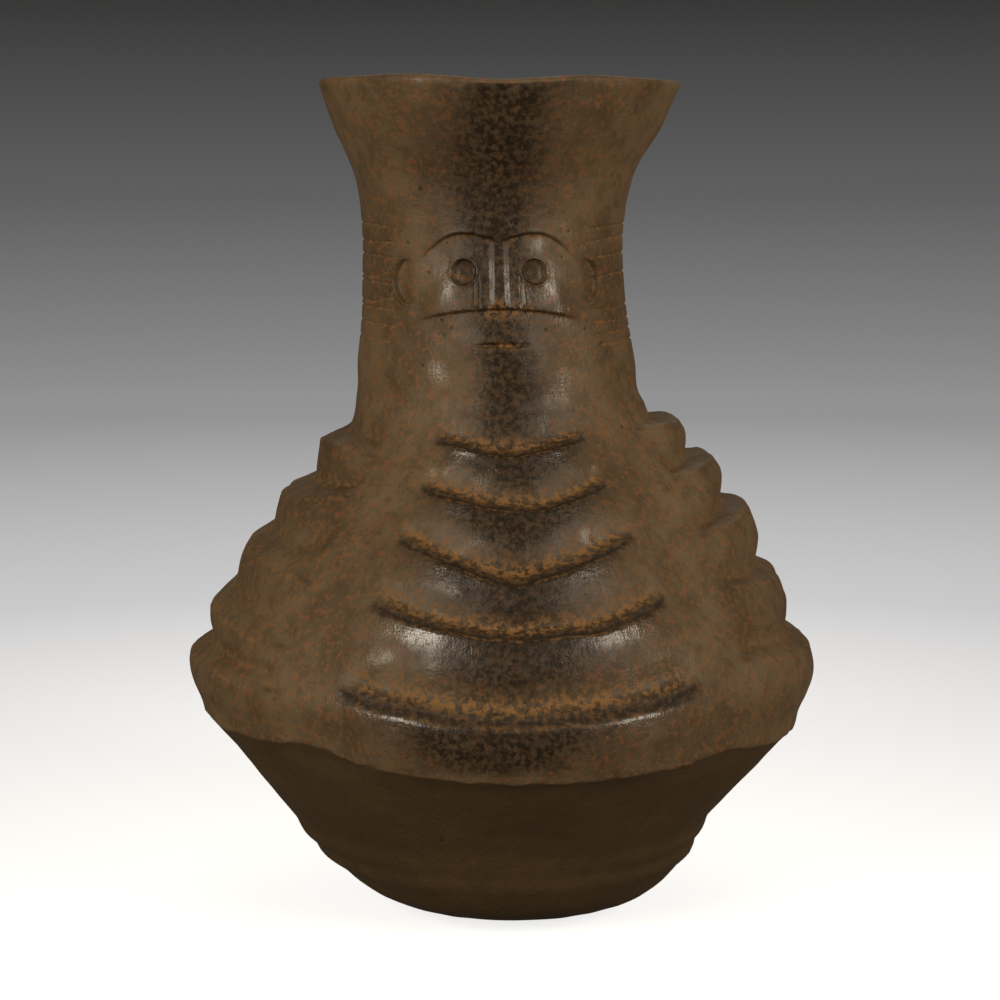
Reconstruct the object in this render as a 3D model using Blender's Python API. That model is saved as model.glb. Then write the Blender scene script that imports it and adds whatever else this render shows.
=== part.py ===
"""A hand-built earthenware pot: a rounded bowl with a sharp belly edge, a shoulder of four
panels carved into ribs like worn stairs, and a flaring neck that carries a simple face.

Run it with: blender --background --python part.py
Metres, +Z up. The face looks along -Y. The origin is on the flat foot, straight under the middle
of the belly. Azimuths are measured from the front, positive towards +X.
"""

import math
from collections import namedtuple

import bmesh
import bpy
import numpy as np

MM = 0.001
Rib = namedtuple("Rib", "height lift bow depth")
Panel = namedtuple("Panel", "middle top_reach foot_reach taper swell tread rounding bulge ribs")

# Smooth outer wall, before any carving: the few points that its outline needs
FOOT_RADIUS = 41 * MM
SOLE_RADIUS = 76 * MM
SOLE_HEIGHT = 10 * MM
HEEL_RADIUS = 96.5 * MM
HEEL_HEIGHT = 27 * MM
FLANK_RADIUS = 115.5 * MM
FLANK_HEIGHT = 54 * MM
BELLY_RADIUS = 160 * MM
BELLY_HEIGHT = 109 * MM
SKIRT_RADIUS = 162 * MM
SKIRT_HEIGHT = 144 * MM
SHOULDER_RADIUS = 137 * MM
SHOULDER_HEIGHT = 196 * MM
YOKE_RADIUS = 82 * MM
YOKE_HEIGHT = 267 * MM
COLLAR_RADIUS = 74 * MM
COLLAR_HEIGHT = 302 * MM
NECK_RADIUS = 69.5 * MM
NECK_HEIGHT = 358 * MM
THROAT_RADIUS = 74 * MM
THROAT_HEIGHT = 396 * MM
FLARE_RADIUS = 87 * MM
FLARE_HEIGHT = 424 * MM
RIM_RADIUS = 96 * MM
RIM_HEIGHT = 450.2 * MM

# Clay between the smooth outer wall and the cavity
FLOOR = 11 * MM
BOWL_WALL = 9 * MM
SHOULDER_WALL = 15 * MM
NECK_WALL = 9 * MM
LIP = 5.2 * MM

# Hand-built irregularity
NECK_LEAN = -4.2 * MM
BOWL_LEAN = 1 * MM
FOOT_LEAN = 6.5 * MM
RIM_RIPPLE = 1.9 * MM
RIM_DIP = 1.8
RIM_DIP_REACH = 0.57
RIM_TILT = 0.4
BELLY_TILT = 4 * MM
BELLY_SAG = 4.5 * MM
BELLY_LIFT = 5.5 * MM

# Carved shoulder. A rib is a stair: a tread that faces up, a nose and a bulging riser under it.
# Each rib gives its nose's height at the panel's middle, how much higher its ends are, the power
# of the bow between them, and half of the step's depth. A panel's taper is the share of its reach
# where the steps start to run out, its tread is the share of each step that faces up, and its
# rounding and bulge are shares of the step's depth.
FRONT = Panel(
    math.radians(4.5), math.radians(29), math.radians(37), 0.82, 0 * MM, 0.28, 0.25, 0.3,
    (
        Rib(256 * MM, 8 * MM, 1.6, 4.4 * MM),
        Rib(229.5 * MM, 12 * MM, 1.6, 4.2 * MM),
        Rib(196.5 * MM, 21 * MM, 1.2, 4.6 * MM),
        Rib(171.5 * MM, 15 * MM, 1.6, 4.2 * MM),
        Rib(131.5 * MM, 11 * MM, 1.6, 4.2 * MM),
    ),
)
RIGHT = Panel(
    math.radians(92), math.radians(33), math.radians(43), 0.82, 8 * MM, 0.28, 0.4, 0.45,
    (
        Rib(261 * MM, 3 * MM, 2, 8 * MM),
        Rib(239 * MM, -3 * MM, 2, 6.4 * MM),
        Rib(213 * MM, -2 * MM, 2, 7.4 * MM),
        Rib(181 * MM, 6 * MM, 2, 5 * MM),
        Rib(144 * MM, 9 * MM, 2, 6.4 * MM),
    ),
)
BACK = Panel(
    math.radians(181), math.radians(31), math.radians(37), 0.82, 0 * MM, 0.32, 0.35, 0.3,
    (
        Rib(254 * MM, 7 * MM, 1.8, 4.8 * MM),
        Rib(226 * MM, 10 * MM, 1.8, 4.4 * MM),
        Rib(197 * MM, 13 * MM, 1.8, 4.4 * MM),
        Rib(167 * MM, 12 * MM, 1.8, 4.4 * MM),
        Rib(134 * MM, 10 * MM, 1.8, 4.4 * MM),
    ),
)
LEFT = Panel(
    math.radians(-89), math.radians(44), math.radians(46), 0.84, 0 * MM, 0.48, 0.25, 0.1,
    (
        Rib(253 * MM, 0 * MM, 2, 6.8 * MM),
        Rib(224 * MM, 12 * MM, 2, 4.6 * MM),
        Rib(200 * MM, -10 * MM, 2, 2.8 * MM),
        Rib(165 * MM, -5 * MM, 2, 3.6 * MM),
        Rib(141 * MM, -2 * MM, 2, 5.8 * MM),
    ),
)
PANELS = (FRONT, RIGHT, BACK, LEFT)
PANEL_EDGE = 0.72
VALLEY_EDGE = 1.3
VALLEY_DEPTH = 3.5 * MM
NOSE_TAPER = 0.55
COLLAR_NOTCH = 0.7
COLLAR_CLIMB = 0.6
RECESS_ROUNDING = 0.7
LAST_RISER = 48 * MM
SWELLING_HEIGHT = 232 * MM
SWELLING_REACH = 60 * MM

# Low ridges where the coil-built bowl was set on its pressed base
JOINT_HEIGHTS = (33 * MM, 45 * MM)
JOINT_LIFT = 1.8 * MM
JOINT_WIDTH = 16 * MM

# Face, measured round the neck from its middle and up from the foot
FACE_TURN = math.radians(3)
FACE_EDGE = 2 * MM
EYE_SPACING = 37 * MM
EYE_HEIGHT = 350.5 * MM
EYE_RADIUS = 6.9 * MM
EYE_DEPTH = 4.6 * MM
EYE_RIM = 0.7 * MM
BROW_HEIGHT = 370 * MM
BROW_DEPTH = 2.2 * MM
BROW_DROP_INSIDE = 4 * MM
BROW_DROP_OUTSIDE = 9 * MM
CHEEK_HEIGHT = 331.5 * MM
CHEEK_DROP = 5 * MM
CHEEK_SPREAD = 38 * MM
CHEEK_LIFT = 3 * MM
CHEEK_FADE = 8 * MM
NOSE_WIDTH = 8 * MM
NOSE_LIFT = 2.6 * MM
NOSTRIL_SPREAD = 22.6 * MM
NOSTRIL_DEPTH = 1.2 * MM
MOUTH_HEIGHT = 313 * MM
MOUTH_WIDTH = 32 * MM
MOUTH_OPENING = 4.2 * MM
MOUTH_DEPTH = 2.4 * MM
MUZZLE_LIFT = 2.6 * MM
EAR_SPACING = 98 * MM
EAR_HEIGHT = 345 * MM
EAR_RADIUS = 12 * MM
EAR_DEPTH = 2.4 * MM
EAR_RIM = 1.1 * MM

# Mesh
OUTLINE_STEP = 0.5 * MM
FINE_STEP = 1.3 * MM
COARSE_STEP = 5 * MM
NORMAL_BLEND = 14 * MM
FRONT_HALF = math.radians(56)
FRONT_COLUMNS = 112
OTHER_COLUMNS = 112
TRIANGLES = 9700
SEAT_CUT = 1.5 * MM

CLAY_COLOUR = (0.095, 0.062, 0.031, 1.0)
CLAY_ROUGHNESS = 0.5


def smoothstep(value, start, end):
    """0 at start and before it, 1 at end and after it. The end may be the lower value."""
    t = np.clip((value - start) / (end - start), 0.0, 1.0)
    return t * t * (3.0 - 2.0 * t)


def bump(value, middle, half_width):
    """1 at the middle, easing to 0 at half_width to either side."""
    return smoothstep(np.abs(value - middle), half_width, 0.0)


def smooth_min(a, b, rounding):
    return (a + b - np.sqrt((a - b) ** 2 + rounding**2)) / 2.0


def smooth_max(a, b, rounding):
    return (a + b + np.sqrt((a - b) ** 2 + rounding**2)) / 2.0


def turn_from(azimuth, middle):
    """Signed angle from the middle, between -pi and pi."""
    return (azimuth - middle + math.pi) % (2.0 * math.pi) - math.pi


def curve_through(points):
    """Close points along a smooth curve through the given ones, one Catmull-Rom piece each."""
    points = np.array(points, float)
    padded = np.vstack([2 * points[0] - points[1], points, 2 * points[-1] - points[-2]])
    t = np.linspace(0.0, 1.0, 60)[:, None]
    pieces = []
    for before, start, end, after in zip(padded, padded[1:], padded[2:], padded[3:]):
        leave = (end - before) / 2
        arrive = (after - start) / 2
        pieces.append(
            (2 * t**3 - 3 * t**2 + 1) * start
            + (t**3 - 2 * t**2 + t) * leave
            + (3 * t**2 - 2 * t**3) * end
            + (t**3 - t**2) * arrive
        )
    return np.vstack(pieces)


def arc_lengths(points):
    steps = np.linalg.norm(np.diff(points, axis=0), axis=1)
    return np.concatenate([[0.0], np.cumsum(steps)])


def sampled(pairs, along, lengths):
    """Pairs that belong to the lengths in along, read at other lengths."""
    return np.column_stack([np.interp(lengths, along, pairs[:, i]) for i in (0, 1)])


def even_points(points, step):
    along = arc_lengths(points)
    count = max(3, round(along[-1] / step) + 1)
    return sampled(points, along, np.linspace(0.0, along[-1], count))


def outer_outline():
    """Radius and height up the smooth outer wall, from the foot to the lip."""
    bowl = curve_through([
        (FOOT_RADIUS, -SEAT_CUT),
        (SOLE_RADIUS, SOLE_HEIGHT),
        (HEEL_RADIUS, HEEL_HEIGHT),
        (FLANK_RADIUS, FLANK_HEIGHT),
        (BELLY_RADIUS, BELLY_HEIGHT),
    ])
    shoulder_and_neck = curve_through([
        (BELLY_RADIUS, BELLY_HEIGHT),
        (SKIRT_RADIUS, SKIRT_HEIGHT),
        (SHOULDER_RADIUS, SHOULDER_HEIGHT),
        (YOKE_RADIUS, YOKE_HEIGHT),
        (COLLAR_RADIUS, COLLAR_HEIGHT),
        (NECK_RADIUS, NECK_HEIGHT),
        (THROAT_RADIUS, THROAT_HEIGHT),
        (FLARE_RADIUS, FLARE_HEIGHT),
        (RIM_RADIUS, RIM_HEIGHT - LIP / 2),
    ])
    return even_points(np.vstack([bowl[:-1], shoulder_and_neck]), OUTLINE_STEP)


def outward_normals(outline):
    """Normals of the outline, eased across its corners so that carving never folds there."""
    tangents = np.gradient(outline, axis=0)
    window = np.ones(2 * round(NORMAL_BLEND / OUTLINE_STEP / 2) + 1)
    margin = len(window) // 2
    padded = np.pad(tangents, ((margin, margin), (0, 0)), mode="edge")
    eased = np.column_stack([np.convolve(padded[:, i], window, "valid") for i in (0, 1)])
    normals = np.column_stack([eased[:, 1], -eased[:, 0]])
    return normals / np.linalg.norm(normals, axis=1)[:, None]


def wall_depth(height):
    """Depth of the cavity's wall behind the smooth outer wall."""
    return np.interp(
        height,
        [0.0, FLANK_HEIGHT, BELLY_HEIGHT, YOKE_HEIGHT, COLLAR_HEIGHT, THROAT_HEIGHT, RIM_HEIGHT],
        [FLOOR, BOWL_WALL, SHOULDER_WALL, SHOULDER_WALL, NECK_WALL, NECK_WALL, LIP],
    )


def cavity_outline(outline, normals):
    """Radius and height down the cavity, from the lip to the middle of the floor."""
    picks = np.linspace(0, len(outline) - 1, 16).round().astype(int)[1:-1]
    inset = outline[picks] - normals[picks] * wall_depth(outline[picks, 1])[:, None]
    floor_edge = (FOOT_RADIUS, FLOOR)
    lip_edge = (RIM_RADIUS - LIP, RIM_HEIGHT - LIP / 2)
    curve = curve_through([lip_edge, *inset[::-1], floor_edge, (0.0, FLOOR)])
    return even_points(curve, COARSE_STEP)[:-1]


def lip_arc():
    """The rounded top of the lip, from its outer side to its inner side."""
    angles = np.linspace(0.0, math.pi, 7)[1:-1]
    across = RIM_RADIUS - LIP / 2 + np.cos(angles) * LIP / 2
    return np.column_stack([across, RIM_HEIGHT - LIP / 2 + np.sin(angles) * LIP / 2])


def panel_phase(panel, turn, height):
    """Ribs counted down the panel: 0 on the first nose, 1 on the second, and so on."""
    spread = np.abs(turn) / panel_reach(panel, height)
    noses = [rib.height + rib.lift * np.minimum(spread, 1.2) ** rib.bow for rib in panel.ribs]
    phase = np.minimum((noses[0] - height) / (noses[0] - noses[1]), 0.0)
    for upper, lower in zip(noses, noses[1:]):
        phase = phase + np.clip((upper - height) / (upper - lower), 0.0, 1.0)
    return phase + np.maximum((noses[-1] - height) / LAST_RISER, 0.0)


def panel_reach(panel, height):
    """Half of the panel's spread, which widens towards the belly."""
    top = panel.ribs[0].height
    foot = panel.ribs[-1].height
    share = np.clip((top - height) / (top - foot), 0.0, 1.0)
    return panel.top_reach + (panel.foot_reach - panel.top_reach) * share


def stairs(panel, phase):
    """Stair profile between -1 in a recess and 1 on a nose. The last riser ends flush."""
    last = len(panel.ribs) - 1
    rib = np.clip(np.floor(phase), 0, last)
    place = phase - rib
    riser_share = 1.0 - panel.tread
    down = np.clip(place / riser_share, 0.0, 1.0)
    bulge = panel.bulge * 16.0 * (down * (1.0 - down)) ** 2
    is_last = rib >= last
    foot = np.where(is_last, 0.0, -1.0)
    riser = 1.0 + (foot - 1.0) * place / riser_share + bulge
    tread = np.where(is_last, foot, 2.0 * (place - riser_share) / panel.tread - 1.0)
    next_riser = np.where(is_last, 9.0, 1.0 - 2.0 * (place - 1.0) / riser_share)
    tread_above = 1.0 + 2.0 * place / panel.tread
    step = smooth_max(riser, tread, RECESS_ROUNDING)
    step = smooth_min(step, tread_above, panel.rounding)
    step = smooth_min(step, next_riser, panel.rounding)
    collar = np.minimum((-phase - panel.tread) / COLLAR_CLIMB - COLLAR_NOTCH, 0.0)
    return np.where(phase < 0.0, smooth_max(step, collar, RECESS_ROUNDING), step)


def panel_share(panel, azimuth, height):
    """1 across the panel, easing to 0 in the valleys beside it."""
    spread = np.abs(turn_from(azimuth, panel.middle)) / panel_reach(panel, height)
    return smoothstep(spread, VALLEY_EDGE, PANEL_EDGE)


def panel_steps(panel, azimuth, height):
    """How far the steps stand out of the smooth wall. The noses run out before the recesses do."""
    turn = turn_from(azimuth, panel.middle)
    phase = panel_phase(panel, turn, height)
    depth = np.interp(phase, range(len(panel.ribs)), [rib.depth for rib in panel.ribs])
    step = depth * stairs(panel, phase)
    spread = np.abs(turn) / panel_reach(panel, height)
    start = np.where(step > 0.0, NOSE_TAPER * panel.taper, panel.taper)
    return step * smoothstep(spread, 1.0, start)


def shoulder_carving(azimuth, height):
    """Ribs on the panels, and the smooth valleys between them."""
    carving = np.zeros(np.broadcast(azimuth, height).shape)
    panels = np.zeros_like(carving)
    swelling = bump(height, SWELLING_HEIGHT, SWELLING_REACH)
    for panel in PANELS:
        share = panel_share(panel, azimuth, height)
        turn = turn_from(azimuth, panel.middle)
        carving += panel_steps(panel, azimuth, height)
        carving += panel.swell * swelling * bump(turn, 0.0, 1.8 * panel.foot_reach)
        panels += share
    top = YOKE_HEIGHT + 2 * (COLLAR_HEIGHT - YOKE_HEIGHT) / 3
    carving = carving * smoothstep(height, top, YOKE_HEIGHT - VALLEY_DEPTH)
    valley = VALLEY_DEPTH * smoothstep(height, COLLAR_HEIGHT, SHOULDER_HEIGHT)
    above_belly = smoothstep(height, BELLY_HEIGHT - NORMAL_BLEND, BELLY_HEIGHT)
    return (carving - valley * np.maximum(1.0 - panels, 0.0)) * above_belly


def bowl_carving(azimuth, height):
    """Two uneven ridges round the lower bowl, highest at its sides."""
    ridges = sum(bump(height, middle, JOINT_WIDTH / 2) for middle in JOINT_HEIGHTS)
    return JOINT_LIFT * ridges * (0.15 + 0.85 * np.sin(azimuth) ** 2)


def cheek_plates(across, height):
    """Two plates under arched brows that lean out to an edge above the mouth."""
    middle = CHEEK_SPREAD / 2
    arch = ((across - middle) / middle) ** 2
    brow = BROW_HEIGHT - arch * np.where(across > middle, BROW_DROP_OUTSIDE, BROW_DROP_INSIDE)
    edge = CHEEK_HEIGHT - CHEEK_DROP * (across / CHEEK_SPREAD) ** 2
    rise = np.clip((height - edge) / (brow - edge), 0.0, 1.0)
    level = CHEEK_LIFT - (CHEEK_LIFT + BROW_DEPTH) * rise
    within = smoothstep(height, edge - FACE_EDGE / 2, edge + FACE_EDGE / 2)
    within = within * smoothstep(height, brow + FACE_EDGE / 2, brow - FACE_EDGE / 2)
    fade = smoothstep(across, CHEEK_SPREAD + CHEEK_FADE, CHEEK_SPREAD - CHEEK_FADE)
    return level * within * fade, within


def nose(across, height, within):
    """A narrow flat ridge between the plates, and a groove beside each nostril."""
    ridge = NOSE_LIFT * smoothstep(across, NOSE_WIDTH / 2, NOSE_WIDTH / 4)
    low = smoothstep(height, EYE_HEIGHT, EYE_HEIGHT - EYE_RADIUS)
    groove = NOSTRIL_DEPTH * bump(across, NOSTRIL_SPREAD / 2, FACE_EDGE) * low
    return (ridge - groove) * within


def eye(across, height):
    distance = np.hypot(across - EYE_SPACING / 2, height - EYE_HEIGHT)
    hole = smoothstep(distance, EYE_RADIUS, EYE_RADIUS - FACE_EDGE)
    rim = bump(distance, EYE_RADIUS + EYE_RIM, 2 * EYE_RIM)
    return EYE_RIM * rim - EYE_DEPTH * hole


def mouth(across, height):
    """A soft muzzle with a lens-shaped slit in it."""
    muzzle = bump(across, 0.0, 1.1 * MOUTH_WIDTH) * bump(height, MOUTH_HEIGHT, 0.55 * MOUTH_WIDTH)
    half_open = MOUTH_OPENING / 2 * (1.0 - (across / (MOUTH_WIDTH / 2)) ** 2)
    slit = smoothstep(np.abs(height - MOUTH_HEIGHT), half_open, half_open - MOUTH_OPENING / 2)
    slit = np.where(half_open > 0.0, slit, 0.0)
    return MUZZLE_LIFT * muzzle - MOUTH_DEPTH * slit


def ear(across, height):
    """A hollow that is steep at its outer edge and runs out towards the face."""
    out = across - EAR_SPACING / 2
    distance = np.hypot(out, height - EAR_HEIGHT)
    hollow = smoothstep(distance, EAR_RADIUS, EAR_RADIUS - FACE_EDGE)
    hollow = hollow * smoothstep(out, -0.3 * EAR_RADIUS, 0.7 * EAR_RADIUS)
    rim = bump(distance, EAR_RADIUS + EAR_RIM, 2 * EAR_RIM) * smoothstep(out, 0.0, 0.5 * EAR_RADIUS)
    return EAR_RIM * rim - EAR_DEPTH * hollow


def face_carving(azimuth, height):
    across = np.abs(turn_from(azimuth, FACE_TURN)) * NECK_RADIUS
    plates, within = cheek_plates(across, height)
    relief = plates + nose(across, height, within)
    return relief + eye(across, height) + mouth(across, height) + ear(across, height)


def belly_shift(azimuth, height):
    """How far hand building moved the belly edge up or down."""
    panels = sum(panel_share(panel, azimuth, BELLY_HEIGHT) for panel in PANELS)
    shift = BELLY_LIFT * np.maximum(1.0 - panels, 0.0) - BELLY_TILT * np.sin(azimuth)
    shift = shift - BELLY_SAG * bump(azimuth, FRONT.middle, 1.2 * FRONT.foot_reach)
    return shift * bump(height, BELLY_HEIGHT, BELLY_HEIGHT / 2)


def rim_shift(azimuth, height):
    """The wavy lip: low at both sides, and dipped in the middle of its front and back."""
    across = np.sin(azimuth)
    wave = np.cos(2 * azimuth) - RIM_DIP * bump(across, 0.0, RIM_DIP_REACH) - RIM_TILT * across
    return RIM_RIPPLE * wave * smoothstep(height, THROAT_HEIGHT, RIM_HEIGHT)


def lean(height):
    """Sideways lean of the neck, and of the bowl and foot the other way."""
    neck = NECK_LEAN * bump(height, NECK_HEIGHT, 1.2 * (RIM_HEIGHT - NECK_HEIGHT))
    bowl = BOWL_LEAN * smoothstep(height, SKIRT_HEIGHT, FLANK_HEIGHT)
    return neck + bowl + FOOT_LEAN * smoothstep(height, FLANK_HEIGHT, 0.0)


def placed(radius, height, azimuth):
    """Vertex positions, with the hand-built irregularity that both sides of the wall share."""
    height = height + belly_shift(azimuth, height) + rim_shift(azimuth, height)
    x = radius * np.sin(azimuth) + lean(height)
    return np.stack(np.broadcast_arrays(x, -radius * np.cos(azimuth), height), axis=-1)


def column_azimuths():
    """Azimuths of the mesh's columns, closer together across the front."""
    front = np.linspace(-FRONT_HALF, FRONT_HALF, FRONT_COLUMNS, endpoint=False)
    other = np.linspace(FRONT_HALF, 2 * math.pi - FRONT_HALF, OTHER_COLUMNS, endpoint=False)
    return turn_from(np.concatenate([front, other]), 0.0)


def row_lengths(outline):
    """Lengths up the outline of the mesh's rows, closer together where it is carved."""
    along = arc_lengths(outline)
    carved = (outline[:, 1] > BELLY_HEIGHT - NORMAL_BLEND) & (outline[:, 1] < BROW_HEIGHT + FACE_EDGE)
    per_row = np.where(carved, FINE_STEP, COARSE_STEP)
    rows = np.concatenate([[0.0], np.cumsum(OUTLINE_STEP / per_row[1:])])
    return np.interp(np.linspace(0.0, rows[-1], round(rows[-1])), rows, along)


def outer_surface(azimuth):
    """Rows of vertices up the carved outer wall."""
    outline = outer_outline()
    along = arc_lengths(outline)
    lengths = row_lengths(outline)
    base = sampled(outline, along, lengths)
    normals = sampled(outward_normals(outline), along, lengths)
    radius, height = base[:, :1], base[:, 1:]
    lifted = height + belly_shift(azimuth, height)
    carving = shoulder_carving(azimuth, lifted) + face_carving(azimuth, lifted)
    carving = carving + bowl_carving(azimuth, height)
    return placed(radius + normals[:, :1] * carving, height + normals[:, 1:] * carving, azimuth)


def plain_surface(outline, azimuth):
    """Rows of vertices along the lip or the cavity, which carry no carving."""
    return placed(outline[:, :1], outline[:, 1:], azimuth)


def wall_mesh():
    """The whole clay wall as one closed mesh of rings, with a pole under the foot and one on the floor."""
    azimuth = column_azimuths()
    outline = outer_outline()
    cavity = cavity_outline(outline, outward_normals(outline))
    rings = np.concatenate([
        outer_surface(azimuth),
        plain_surface(lip_arc(), azimuth),
        plain_surface(cavity, azimuth),
    ])
    row_count, column_count = rings.shape[:2]
    under = row_count * column_count
    middle = under + 1
    poles = [(lean(height), 0.0, height) for height in (-SEAT_CUT, FLOOR)]
    vertices = rings.reshape(-1, 3).tolist() + poles
    faces = []
    for column in range(column_count):
        beside = (column + 1) % column_count
        faces.append((under, beside, column))
        for row in range(row_count - 1):
            low = row * column_count
            high = low + column_count
            faces.append((low + column, low + beside, high + beside, high + column))
        top = (row_count - 1) * column_count
        faces.append((top + column, top + beside, middle))
    mesh = bpy.data.meshes.new("pot")
    mesh.from_pydata(vertices, [], faces)
    mesh.shade_smooth()
    return mesh


def fired_clay():
    material = bpy.data.materials.new("fired clay")
    material.use_nodes = True
    shader = material.node_tree.nodes["Principled BSDF"]
    shader.inputs["Base Color"].default_value = CLAY_COLOUR
    shader.inputs["Roughness"].default_value = CLAY_ROUGHNESS
    shader.inputs["Metallic"].default_value = 0.0
    return material


def seat_cutter():
    """A block under the pot, which leaves its foot exactly flat."""
    shape = bmesh.new()
    bmesh.ops.create_cube(shape, size=4 * BELLY_RADIUS)
    bmesh.ops.translate(shape, verts=shape.verts, vec=(0.0, 0.0, -2 * BELLY_RADIUS))
    mesh = bpy.data.meshes.new("seat cutter")
    shape.to_mesh(mesh)
    shape.free()
    cutter = bpy.data.objects.new("seat cutter", mesh)
    cutter.hide_render = True
    cutter.display_type = "WIRE"
    bpy.context.scene.collection.objects.link(cutter)
    return cutter


def pot():
    """The pot: the fine wall, thinned out where it is plain and cut flat under the foot."""
    mesh = wall_mesh()
    mesh.materials.append(fired_clay())
    body = bpy.data.objects.new("pot", mesh)
    bpy.context.scene.collection.objects.link(body)
    mesh.calc_loop_triangles()
    thin = body.modifiers.new("thin out", "DECIMATE")
    thin.ratio = TRIANGLES / len(mesh.loop_triangles)
    thin.use_collapse_triangulate = True
    seat = body.modifiers.new("flat foot", "BOOLEAN")
    seat.operation = "DIFFERENCE"
    seat.solver = "EXACT"
    seat.object = seat_cutter()
    return body


def main():
    for item in list(bpy.data.objects):
        bpy.data.objects.remove(item, do_unlink=True)
    pot()


main()
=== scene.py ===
"""Looks of a hand-built ceremonial pot of burnished earthenware, with its studio stage.

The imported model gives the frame. The operators dress it with the same pot in finer relief, one
procedural clay, a pale sweep, soft lights and a camera. Metres, +Z up, the face looks along -Y.
Azimuths are measured from the front, positive towards +X.
"""

import itertools
import math
from collections import namedtuple

import bpy
import numpy as np
from bpy.props import FloatProperty, FloatVectorProperty, IntProperty, PointerProperty
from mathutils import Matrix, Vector


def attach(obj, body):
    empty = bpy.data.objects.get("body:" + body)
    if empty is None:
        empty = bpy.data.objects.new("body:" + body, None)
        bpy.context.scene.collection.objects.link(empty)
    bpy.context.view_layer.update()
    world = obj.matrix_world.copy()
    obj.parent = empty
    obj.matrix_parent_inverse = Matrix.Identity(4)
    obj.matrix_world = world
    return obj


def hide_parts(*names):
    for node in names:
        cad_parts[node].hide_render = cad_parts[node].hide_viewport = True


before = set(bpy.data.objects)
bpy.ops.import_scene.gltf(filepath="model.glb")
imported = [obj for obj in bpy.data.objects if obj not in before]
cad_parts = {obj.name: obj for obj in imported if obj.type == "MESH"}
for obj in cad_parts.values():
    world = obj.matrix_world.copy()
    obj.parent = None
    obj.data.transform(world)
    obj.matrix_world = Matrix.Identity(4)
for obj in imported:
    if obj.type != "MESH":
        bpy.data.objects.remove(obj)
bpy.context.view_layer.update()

bl_info = {
    "name": "Ceremonial pot",
    "version": (1, 0, 0),
    "blender": (4, 5, 0),
    "location": "3D View > Sidebar > Pot",
    "description": "Builds the carved pot, its burnished clay and the studio round it",
    "category": "Object",
}

MM = 0.001
POT_NODE = "pot"

Rib = namedtuple("Rib", "height lift bow depth")
Panel = namedtuple("Panel", "middle top_reach foot_reach taper swell tread rounding bulge ribs")
Scratch = namedtuple("Scratch", "height slant")
Wall = namedtuple("Wall", "azimuth height lifted points")
SoftBox = namedtuple("SoftBox", "name turn elevation width height share")

# Smooth outer wall, the same as the solid's
FOOT_RADIUS = 41 * MM
SOLE_RADIUS = 76 * MM
SOLE_HEIGHT = 10 * MM
HEEL_RADIUS = 96.5 * MM
HEEL_HEIGHT = 27 * MM
FLANK_RADIUS = 115.5 * MM
FLANK_HEIGHT = 54 * MM
BELLY_RADIUS = 160 * MM
BELLY_HEIGHT = 109 * MM
SKIRT_RADIUS = 162 * MM
SKIRT_HEIGHT = 144 * MM
SHOULDER_RADIUS = 137 * MM
SHOULDER_HEIGHT = 196 * MM
YOKE_RADIUS = 82 * MM
YOKE_HEIGHT = 267 * MM
COLLAR_RADIUS = 74 * MM
COLLAR_HEIGHT = 302 * MM
NECK_RADIUS = 69.5 * MM
NECK_HEIGHT = 358 * MM
THROAT_RADIUS = 74 * MM
THROAT_HEIGHT = 396 * MM
FLARE_RADIUS = 87 * MM
FLARE_HEIGHT = 424 * MM
RIM_RADIUS = 96 * MM
RIM_HEIGHT = 450.2 * MM

# Clay between the smooth outer wall and the cavity
FLOOR = 11 * MM
BOWL_WALL = 9 * MM
SHOULDER_WALL = 15 * MM
NECK_WALL = 9 * MM
LIP = 5.2 * MM

# Hand-built irregularity of the whole pot
NECK_LEAN = -4.2 * MM
BOWL_LEAN = 1 * MM
FOOT_LEAN = 6.5 * MM
RIM_RIPPLE = 1.9 * MM
RIM_DIP = 1.8
RIM_DIP_REACH = 0.57
RIM_TILT = 0.4
BELLY_TILT = 4 * MM
BELLY_SAG = 4.5 * MM
BELLY_LIFT = 5.5 * MM

# Carved shoulder. A rib is a stair: a tread that faces up, a nose and a bulging riser under it.
# Each rib gives its nose's height at the panel's middle, how much higher its ends are, the power
# of the bow between them, and half of the step's depth. A panel's taper is the share of its reach
# where the steps start to run out, its tread is the share of each step that faces up, and its
# rounding and bulge are shares of the step's depth.
FRONT = Panel(
    math.radians(4.5), math.radians(29), math.radians(37), 0.82, 0 * MM, 0.28, 0.18, 0.3,
    (
        Rib(256 * MM, 8 * MM, 1.6, 4.4 * MM),
        Rib(229.5 * MM, 12 * MM, 1.6, 4.2 * MM),
        Rib(196.5 * MM, 21 * MM, 1.2, 4.6 * MM),
        Rib(171.5 * MM, 15 * MM, 1.6, 4.2 * MM),
        Rib(131.5 * MM, 11 * MM, 1.6, 4.2 * MM),
    ),
)
RIGHT = Panel(
    math.radians(92), math.radians(33), math.radians(43), 0.82, 8 * MM, 0.28, 0.3, 0.45,
    (
        Rib(261 * MM, 3 * MM, 2, 8 * MM),
        Rib(239 * MM, -3 * MM, 2, 6.4 * MM),
        Rib(213 * MM, -2 * MM, 2, 7.4 * MM),
        Rib(181 * MM, 6 * MM, 2, 5 * MM),
        Rib(144 * MM, 9 * MM, 2, 6.4 * MM),
    ),
)
BACK = Panel(
    math.radians(181), math.radians(31), math.radians(37), 0.82, 0 * MM, 0.32, 0.28, 0.3,
    (
        Rib(254 * MM, 7 * MM, 1.8, 4.8 * MM),
        Rib(226 * MM, 10 * MM, 1.8, 4.4 * MM),
        Rib(197 * MM, 13 * MM, 1.8, 4.4 * MM),
        Rib(167 * MM, 12 * MM, 1.8, 4.4 * MM),
        Rib(134 * MM, 10 * MM, 1.8, 4.4 * MM),
    ),
)
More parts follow.
